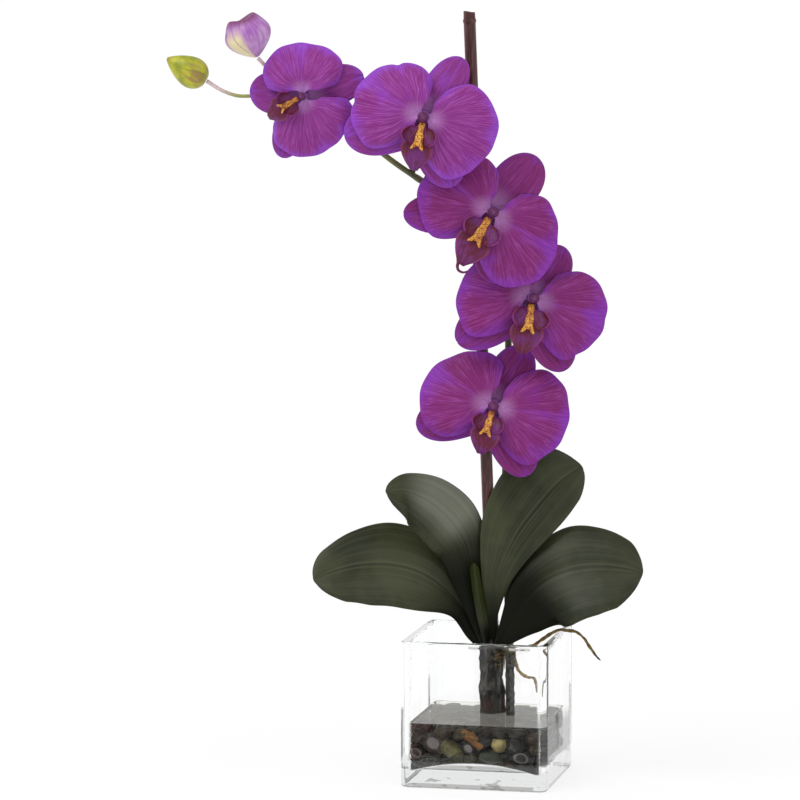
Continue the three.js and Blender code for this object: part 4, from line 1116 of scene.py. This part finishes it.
def on_vault(half, corner, lift=0.0):
    ring = rounded_square(half, corner, 0)
    ring[:, 2] = floor_height(ring[:, 0], ring[:, 1]) + lift
    return ring


def vault(inset, shares):
    """Rings of the hollow's floor, from its edge inwards or back."""
    return [on_vault((INNER - inset) * s, VASE["inner_corner"] * s, inset) for s in shares]


def vase_skin():
    v = VASE
    half, corner, inner, top = v["half"], v["corner"], v["inner_corner"], v["height"]
    foot = [(half - v["foot"] * (1 - math.sin(a)), v["foot"] * (1 - math.cos(a))) for a in QUARTER_TURN]
    outer_rim = [(half - v["rim"] * (1 - math.cos(a)), top - v["rim"] * (1 - math.sin(a))) for a in QUARTER_TURN]
    inner_rim = [(INNER + v["rim"] * (1 - math.sin(a)), top - v["rim"] * (1 - math.cos(a))) for a in QUARTER_TURN]
    rings = [rounded_square(half * s, corner * s, 0) for s in (0.2, 0.6, 0.9)]
    rings += [rounded_square(h, corner, z) for h, z in foot + [(half, 3), (half, 50), (half, top - 3)] + outer_rim]
    rings += [rounded_square(h, inner, z) for h, z in inner_rim + [(INNER, top - 3), (INNER, 50), (INNER, 24)]]
    rings += [on_vault(INNER - FILLET * (1 - math.cos(a)), inner, FILLET * (1 - math.sin(a))) for a in QUARTER_TURN]
    rings += vault(0, VAULT_SHARES)
    return skin(np.stack(rings), wrap=True, caps=True)


def glass_finish():
    """Clear glass. Most light goes straight through the flat walls, as through a thin pane; the rounded
    corners, the rim and the thick floor bend it. Dark wisps are painted inside the floor and a dark band round
    its foot, and the lower part of one outer face is painted greyer and made wavy: painted darkness that stands
    in for dark things seen bent through the glass."""
    f = Finish("pressed_glass", Transmission_Weight=1.0, IOR=1.45, Roughness=0.0)
    x, y, z = f.axes(f.place())
    waves = f.noise(scale=38, detail=2)
    # painted darkness on the low part of the right outer face: it stands in for the dark stones seen through it at a
    # low angle
    painted_grey_face = x.rise(0.0502, 0.0506) * z.fall(0.036, 0.05)
    streaks = f.noise(f.point(x * 300, y * 160, z * 26), detail=3)
    low = z.fall(0.012, 0.016)
    # painted darkness for light bent in the thick floor: dark wisps inside it and a dark band round its foot
    wisps = f.noise(f.point(x * 110, y * 110, z * 420), detail=3).rise(0.6, 0.66) * z.fall(0.007, 0.01)
    band = z.rise(0.001, 0.0016) * z.fall(0.0034, 0.004) * (abs(x).fall(0.041, 0.043) + abs(y).fall(0.041, 0.043))
    colour = f.paint(
        f.mix(low, shade(252, 254, 254), shade(214, 216, 216)),
        (painted_grey_face * (streaks * 0.8 + 0.2), shade(190, 190, 189)),
        (wisps * 0.8 + band * 0.75, shade(96, 94, 88)))
    f.wear(Base_Color=colour, Normal=f.bump(waves * (0.1 + painted_grey_face * 2.0), 0.3))
    corner = abs(x).rise(0.0435, 0.0455) * abs(y).rise(0.0435, 0.0455)
    return f.part_clear((1 - corner) * z.rise(0.016, 0.019) * z.fall(0.0965, 0.099) * (0.96 - painted_grey_face * 0.6))


finished("glass_cube", [vase_skin()], [glass_finish()], "vase", turned=False)

# %% [markdown]
# ## Water
# The water fills the hollow from the vault up to just over the stones. Where it meets the glass it climbs a
# little. It is a body of its own, and its refraction is set lower than real water's. A faint film that gives
# off light at low angles stands in for the white room mirrored in it.

# %% Water body
WATER_LEVEL = 43.8    # in the solids, and about where the water has climbed at the glass
SURFACE = WATER_LEVEL - 0.6


def water_skin(gap=0.12):
    corner, hollow = VASE["inner_corner"], INNER - gap
    rings = vault(gap, VAULT_SHARES[::-1])
    rings += [on_vault(hollow - FILLET * (1 - math.cos(a)), corner, gap + FILLET * (1 - math.sin(a)))
              for a in QUARTER_TURN[::-1]]
    rings += [rounded_square(hollow, corner, z) for z in (24, 35, SURFACE)]
    climb = [(0.05, 0.75), (0.3, 0.45), (0.8, 0.18), (1.6, 0.04), (3, 0)]
    rings += [rounded_square(hollow - d, corner, SURFACE + up) for d, up in climb]
    rings += [rounded_square(hollow * s, corner * s, SURFACE) for s in (0.8, 0.5, 0.2)]
    return skin(np.stack(rings), wrap=True, caps=True)


def water_finish():
    f = Finish("water", Transmission_Weight=1.0, IOR=1.22, Roughness=0.0, Emission_Strength=1.0)
    ripple = f.noise(scale=55, detail=2)
    height = f.axes(f.place())[2]
    grazing = f.node("ShaderNodeLayerWeight", {}, {"Blend": 0.5}, out=1).rise(0.45, 0.85)
    top = height.rise(0.0429, 0.0431) * grazing
    film = f.mix(ripple.rise(0.4, 0.62), shade(92, 92, 90), shade(104, 102, 96))
    return f.wear(Base_Color=f.mix(ripple, shade(236, 238, 232), shade(240, 241, 236)),
                  Emission_Color=f.mix(top, (0.0, 0.0, 0.0), film), Normal=f.bump(ripple, 0.25))


finished("still_water", [water_skin()], [water_finish()], "water", turned=False)

# %% [markdown]
# ## River stones
# Polished stones lie against the glass on all sides. The ones that the photograph shows in front have their
# own places, sizes and colours. The rest are drawn at random with a fixed seed, pushed apart until they
# overlap only a little, and kept inside the hollow. All stones are worked out at once as one array.

# %% Stones in front: x, height, half length, half height, lean, colour, marking
PLAIN, SPOT, RING, SPECKLES = range(4)
SLATE, OLIVE, MAROON, BROWN = shade(40, 40, 42), shade(74, 72, 50), shade(84, 38, 40), shade(78, 58, 44)
FRONT_STONES = [
    (-42.0, 22.9, 5.0, 6.4, 60, MAROON, RING), (-29.8, 30.0, 9.2, 7.4, -25, shade(52, 40, 38), SPOT),
    (-34.0, 17.6, 9.4, 5.4, 8, shade(58, 58, 56), SPECKLES), (-17.4, 26.0, 6.0, 8.6, 65, shade(124, 116, 72), PLAIN),
    (-11.4, 20.4, 5.6, 5.6, 40, OLIVE, PLAIN), (-3.6, 19.4, 6.0, 5.4, 0, shade(66, 64, 50), PLAIN),
    (-4.6, 27.2, 6.4, 4.8, -40, SLATE, SPOT), (6.0, 32.6, 6.6, 5.0, 10, shade(30, 30, 30), PLAIN),
    (16.7, 30.6, 6.0, 5.4, 0, shade(190, 172, 116), PLAIN), (9.6, 22.0, 8.8, 5.0, -6, shade(66, 70, 60), PLAIN),
    (27.1, 30.0, 8.2, 7.0, 20, shade(26, 26, 30), PLAIN), (31.4, 22.0, 9.2, 6.4, -10, shade(34, 33, 36), RING),
    (24.0, 15.4, 6.8, 3.6, -12, BROWN, PLAIN), (37.4, 13.4, 6.2, 4.0, -8, shade(60, 62, 46), PLAIN),
    (39.2, 35.0, 5.2, 4.4, 20, BROWN, PLAIN), (41.0, 28.6, 4.8, 4.6, 0, shade(70, 60, 42), PLAIN),
    (-41.0, 35.0, 6.4, 4.8, -20, shade(58, 36, 34), PLAIN), (-22.0, 37.0, 7.4, 4.6, 12, shade(66, 52, 40), PLAIN),
    (16.0, 38.2, 7.2, 4.2, -10, shade(48, 44, 38), PLAIN), (-10.5, 36.6, 6.0, 4.0, 20, shade(60, 50, 30), PLAIN),
    (29.0, 38.4, 7.2, 4.0, 8, shade(44, 40, 36), PLAIN),
]


# %% Pack the stones and work out their surfaces
STONE_TOP = 41
SPIKE_FOOT = SPIKE_PATH[0][:2]
POST_RADII = 10.2, 4.2


def packed_stones(extra=118, rounds=160):
    """Centres and radii. Each round moves overlapping pairs apart along the line between them, away from
    the walls, the floor, the stump and the spike. The front stones don't move."""
    lots = draws(23)
    fixed = np.array([[x, -INNER + 6.2, z] for x, z, *_ in FRONT_STONES], float)
    fixed_r = np.array([(a + b) / 2 for _, _, a, b, *_ in FRONT_STONES])
    loose = np.stack([lots.uniform(-38, 38, extra), lots.uniform(-28, 38, extra), lots.uniform(17, 38, extra)], -1)
    centre = np.vstack([fixed, loose])
    radius = np.concatenate([fixed_r, lots.uniform(5.4, 8.2, extra)])
    free = np.arange(len(centre)) >= len(fixed)
    posts = in_vase(upright([[*CROWN_AXIS, 0], [*SPIKE_FOOT, 0]]))[:, :2]
    for _ in range(rounds):
        gap = centre[:, None] - centre[None]
        far = np.linalg.norm(gap, axis=-1) + np.eye(len(centre)) * 99
        overlap = np.maximum(0.93 * (radius[:, None] + radius[None]) - far, 0)
        centre = centre + free[:, None] * (gap / far[..., None] * overlap[..., None]).sum(1) * 0.3
        for post, size in zip(posts, POST_RADII):
            away = centre[:, :2] - post
            d = np.linalg.norm(away, axis=1, keepdims=True)
            centre[:, :2] += free[:, None] * away / d * np.maximum(size + 0.8 * radius[:, None] - d, 0) * 0.5
        wall = INNER - 0.86 * radius
        centre[:, :2] = np.clip(centre[:, :2], -wall[:, None], wall[:, None])
        floor = floor_height(centre[:, 0], centre[:, 1]) + 0.8 * radius
        centre[:, 2] = np.where(free, np.clip(centre[:, 2], floor, STONE_TOP + 0.6 - 0.72 * radius), centre[:, 2])
    return centre, radius


def stone_skins(rows=20, cols=28):
    """Flattened ellipsoids with rounded-off waves, turned about three axes, all in one array; then every
    point is kept inside the glass, which leaves small flat spots where a stone leans on it."""
    centre, radius = packed_stones()
    count, front = len(centre), len(FRONT_STONES)
    lots = draws(5)
    theta = np.linspace(0.02, np.pi - 0.02, rows)[None, :, None]
    phi = (np.arange(cols) / cols * 2 * np.pi)[None, None, :]
    unit = grid_of(np.sin(theta) * np.cos(phi), np.sin(theta) * np.sin(phi), np.cos(theta))
    seeds = lots.uniform(0, 6.28, (count, 1, 1, 3))
    lump = 1 + 0.05 * np.sin(2.3 * unit[..., 0] + seeds[..., 0]) + 0.05 * np.sin(2.7 * unit[..., 1] + seeds[..., 1]) \
        + 0.04 * np.sin(3.4 * unit[..., 2] + seeds[..., 2])
    axes = radius[:, None] * np.stack([lots.uniform(1.1, 1.35, count), lots.uniform(0.9, 1.1, count),
                                       lots.uniform(0.68, 0.86, count)], -1)
    axes[:front] = [(a, 6.6, b) for _, _, a, b, *_ in FRONT_STONES]
    body = unit * lump[..., None] * axes[:, None, None]
    turns = np.stack([np.array(Matrix.Rotation(a, 3, "Z") @ Matrix.Rotation(b, 3, "X") @ Matrix.Rotation(c, 3, "Y"))
                      for a, b, c in zip(lots.uniform(0, 6.28, count), lots.normal(0, 0.5, count),
                                         lots.normal(0, 0.4, count))])
    turns[:front] = [np.array(Matrix.Rotation(math.radians(-lean), 3, "Y")) for *_, lean, _, _ in FRONT_STONES]
    placed = np.einsum("nij,nabj->nabi", turns, body) + centre[:, None, None]
    wall = INNER - 0.5
    placed[..., :2] = np.clip(placed[..., :2], -wall, wall)
    placed[..., 2] = np.maximum(placed[..., 2], floor_height(placed[..., 0], placed[..., 1]) + 0.35)
    placed[..., 2] -= 0.8 * np.maximum(placed[..., 2] - STONE_TOP, 0)
    palette = np.array([SLATE, shade(30, 30, 32), shade(50, 50, 48), OLIVE, shade(62, 60, 44), MAROON, BROWN,
                        shade(56, 44, 36), shade(34, 34, 36), shade(92, 84, 60), shade(46, 46, 40)])
    tint = palette[lots.randint(0, len(palette), count)] * lots.uniform(0.35, 0.9, (count, 1))
    tint[:front] = [colour for *_, colour, _ in FRONT_STONES]
    kind = np.where(lots.uniform(0, 1, count) < 0.3, lots.randint(1, 4, count), 0)
    kind[:front] = [k for *_, k in FRONT_STONES]
    toward = np.where(np.arange(count)[:, None] < front, np.array([[0.1, -1, 0.1]]), lots.normal(0, 1, (count, 3)))
    local = np.einsum("nji,nj->ni", turns, toward / np.linalg.norm(toward, axis=1, keepdims=True))
    spot = np.einsum("abj,nj->nab", unit[0], local / np.linalg.norm(local, axis=1, keepdims=True))
    return [skin(placed[n], wrap=True, caps=True, tint=tint[n][None, None, :],
                 spot=spot[n] * (kind[n] in (SPOT, RING)), ring=float(kind[n] == RING),
                 speckle=float(kind[n] == SPECKLES)) for n in range(count)]


def stone_finish():
    """Each stone's own colour, clouded and veined, with a pale spot or ring on some and specks on others."""
    f = Finish("river_stone", Specular_IOR_Level=0.25)
    tint, spot = f.attribute("tint", "Color"), f.attribute("spot")
    ring, speckle = f.attribute("ring"), f.attribute("speckle")
    cloud = f.noise(scale=150, detail=4, rough=0.6)
    grain = f.noise(scale=1500, detail=2)
    veins = abs(f.noise(scale=80, detail=3, warp=0.6) - 0.5)
    colour = f.mix(cloud.rise(0.35, 0.65), f.mix(0.6, tint, shade(10, 10, 10)), tint)
    edge = spot + (cloud - 0.5) * 0.12
    disc = edge.rise(0.86, 0.88) * (1 - ring)
    band = edge.rise(0.78, 0.80) * edge.fall(0.88, 0.90) * ring
    colour = f.paint(
        colour,
        ((disc + band) * 0.7, shade(140, 130, 134)),
        (veins.fall(0.0, 0.02) * 0.35, shade(150, 142, 126)),
        (grain.rise(0.55, 0.62) * (speckle * 0.6 + 0.12), shade(150, 146, 138)))
    return f.wear(Base_Color=colour, Roughness=0.2 + grain * 0.2, Normal=f.bump(cloud + grain * 0.4, 0.3))


def bark_chip():
    """A chip of bark that lies among the front stones: a thin bent plate with a torn outline."""
    a = down(30)
    b = over(20)
    half = 3.6 * np.sin(np.pi * (0.08 + 0.86 * a)) ** 0.5 * (1 + 0.18 * np.sin(17 * a) + 0.1 * np.sin(31 * a))
    x = -9 + 15 * a + 0.8 * b
    z = 38.2 - 9 * a + half * b
    y = -INNER + 1.6 + 1.2 * b**2 + 0.8 * np.sin(5 * a) + 0.4 * np.sin(12 * b + 4 * a)
    made = blade(grid_of(x, y, z), 0.9)
    return {**made, "finish": 1}


def chip_finish():
    f = Finish("bark_chip", Roughness=0.6)
    along, across = f.along_across()
    grain = f.noise(f.point(across * 12, along * 3, 1.0), detail=4)
    colour = f.mix(grain.rise(0.4, 0.62), shade(92, 58, 28), shade(176, 120, 60))
    return f.wear(Base_Color=colour, Normal=f.bump(grain, 0.8))


finished("river_stones", [*stone_skins(), bark_chip()], [stone_finish(), chip_finish()], "pebbles",
         turned=False)

# %% [markdown]
# ## Floor and light
# The plant stands on white paper that gives off some light of its own, so it stays white under the vase. A
# white room and two broad lamps light the plant.

# %% Floor and light
def stage_floor():
    rings = np.array([0.0, 0.5, 2, 8, 60])[:, None] * 1000
    angle = full_turn(64)
    rings = np.maximum(rings, 1)
    grid = grid_of(rings * np.cos(angle), rings * np.sin(angle), 0.0)
    mesh = bpy.data.meshes.new("floor")
    made = skin(grid, wrap=True)
    faces = made["faces"] + [list(range(64))]
    mesh.from_pydata((made["points"] / 1000).tolist(), [], faces)
    f = Finish("floor_paper", Roughness=0.8, Specular_IOR_Level=0.1, Emission_Color=(1, 1, 1, 1),
               Emission_Strength=0.82)
    grain = f.noise(scale=3, detail=2)
    mesh.materials.append(f.wear(Base_Color=f.mix(grain, shade(112, 112, 112), shade(116, 116, 116))))
    floor = bpy.data.objects.new("floor", mesh)
    bpy.context.collection.objects.link(floor)


stage_floor()
world = bpy.data.worlds.new("studio")
bpy.context.scene.world = world
world.use_nodes = True
world.node_tree.nodes["Background"].inputs["Color"].default_value = (1, 1, 1, 1)
world.node_tree.nodes["Background"].inputs["Strength"].default_value = 0.55


def soft_sun(name, azimuth, elevation, strength, spread):
    """A large soft light: a sun whose disc is spread degrees wide."""
    data = bpy.data.lights.new(name, "SUN")
    data.energy, data.angle = strength, math.radians(spread)
    lamp = bpy.data.objects.new(name, data)
    bpy.context.collection.objects.link(lamp)
    a, e = math.radians(azimuth), math.radians(elevation)
    way = Vector((math.sin(a) * math.cos(e), -math.cos(a) * math.cos(e), math.sin(e)))
    lamp.rotation_euler = way.to_track_quat("Z", "Y").to_euler()


soft_sun("key", -40, 50, 1.5, 40)
soft_sun("fill", 60, 35, 0.6, 50)
bpy.context.scene.view_settings.view_transform = "Standard"
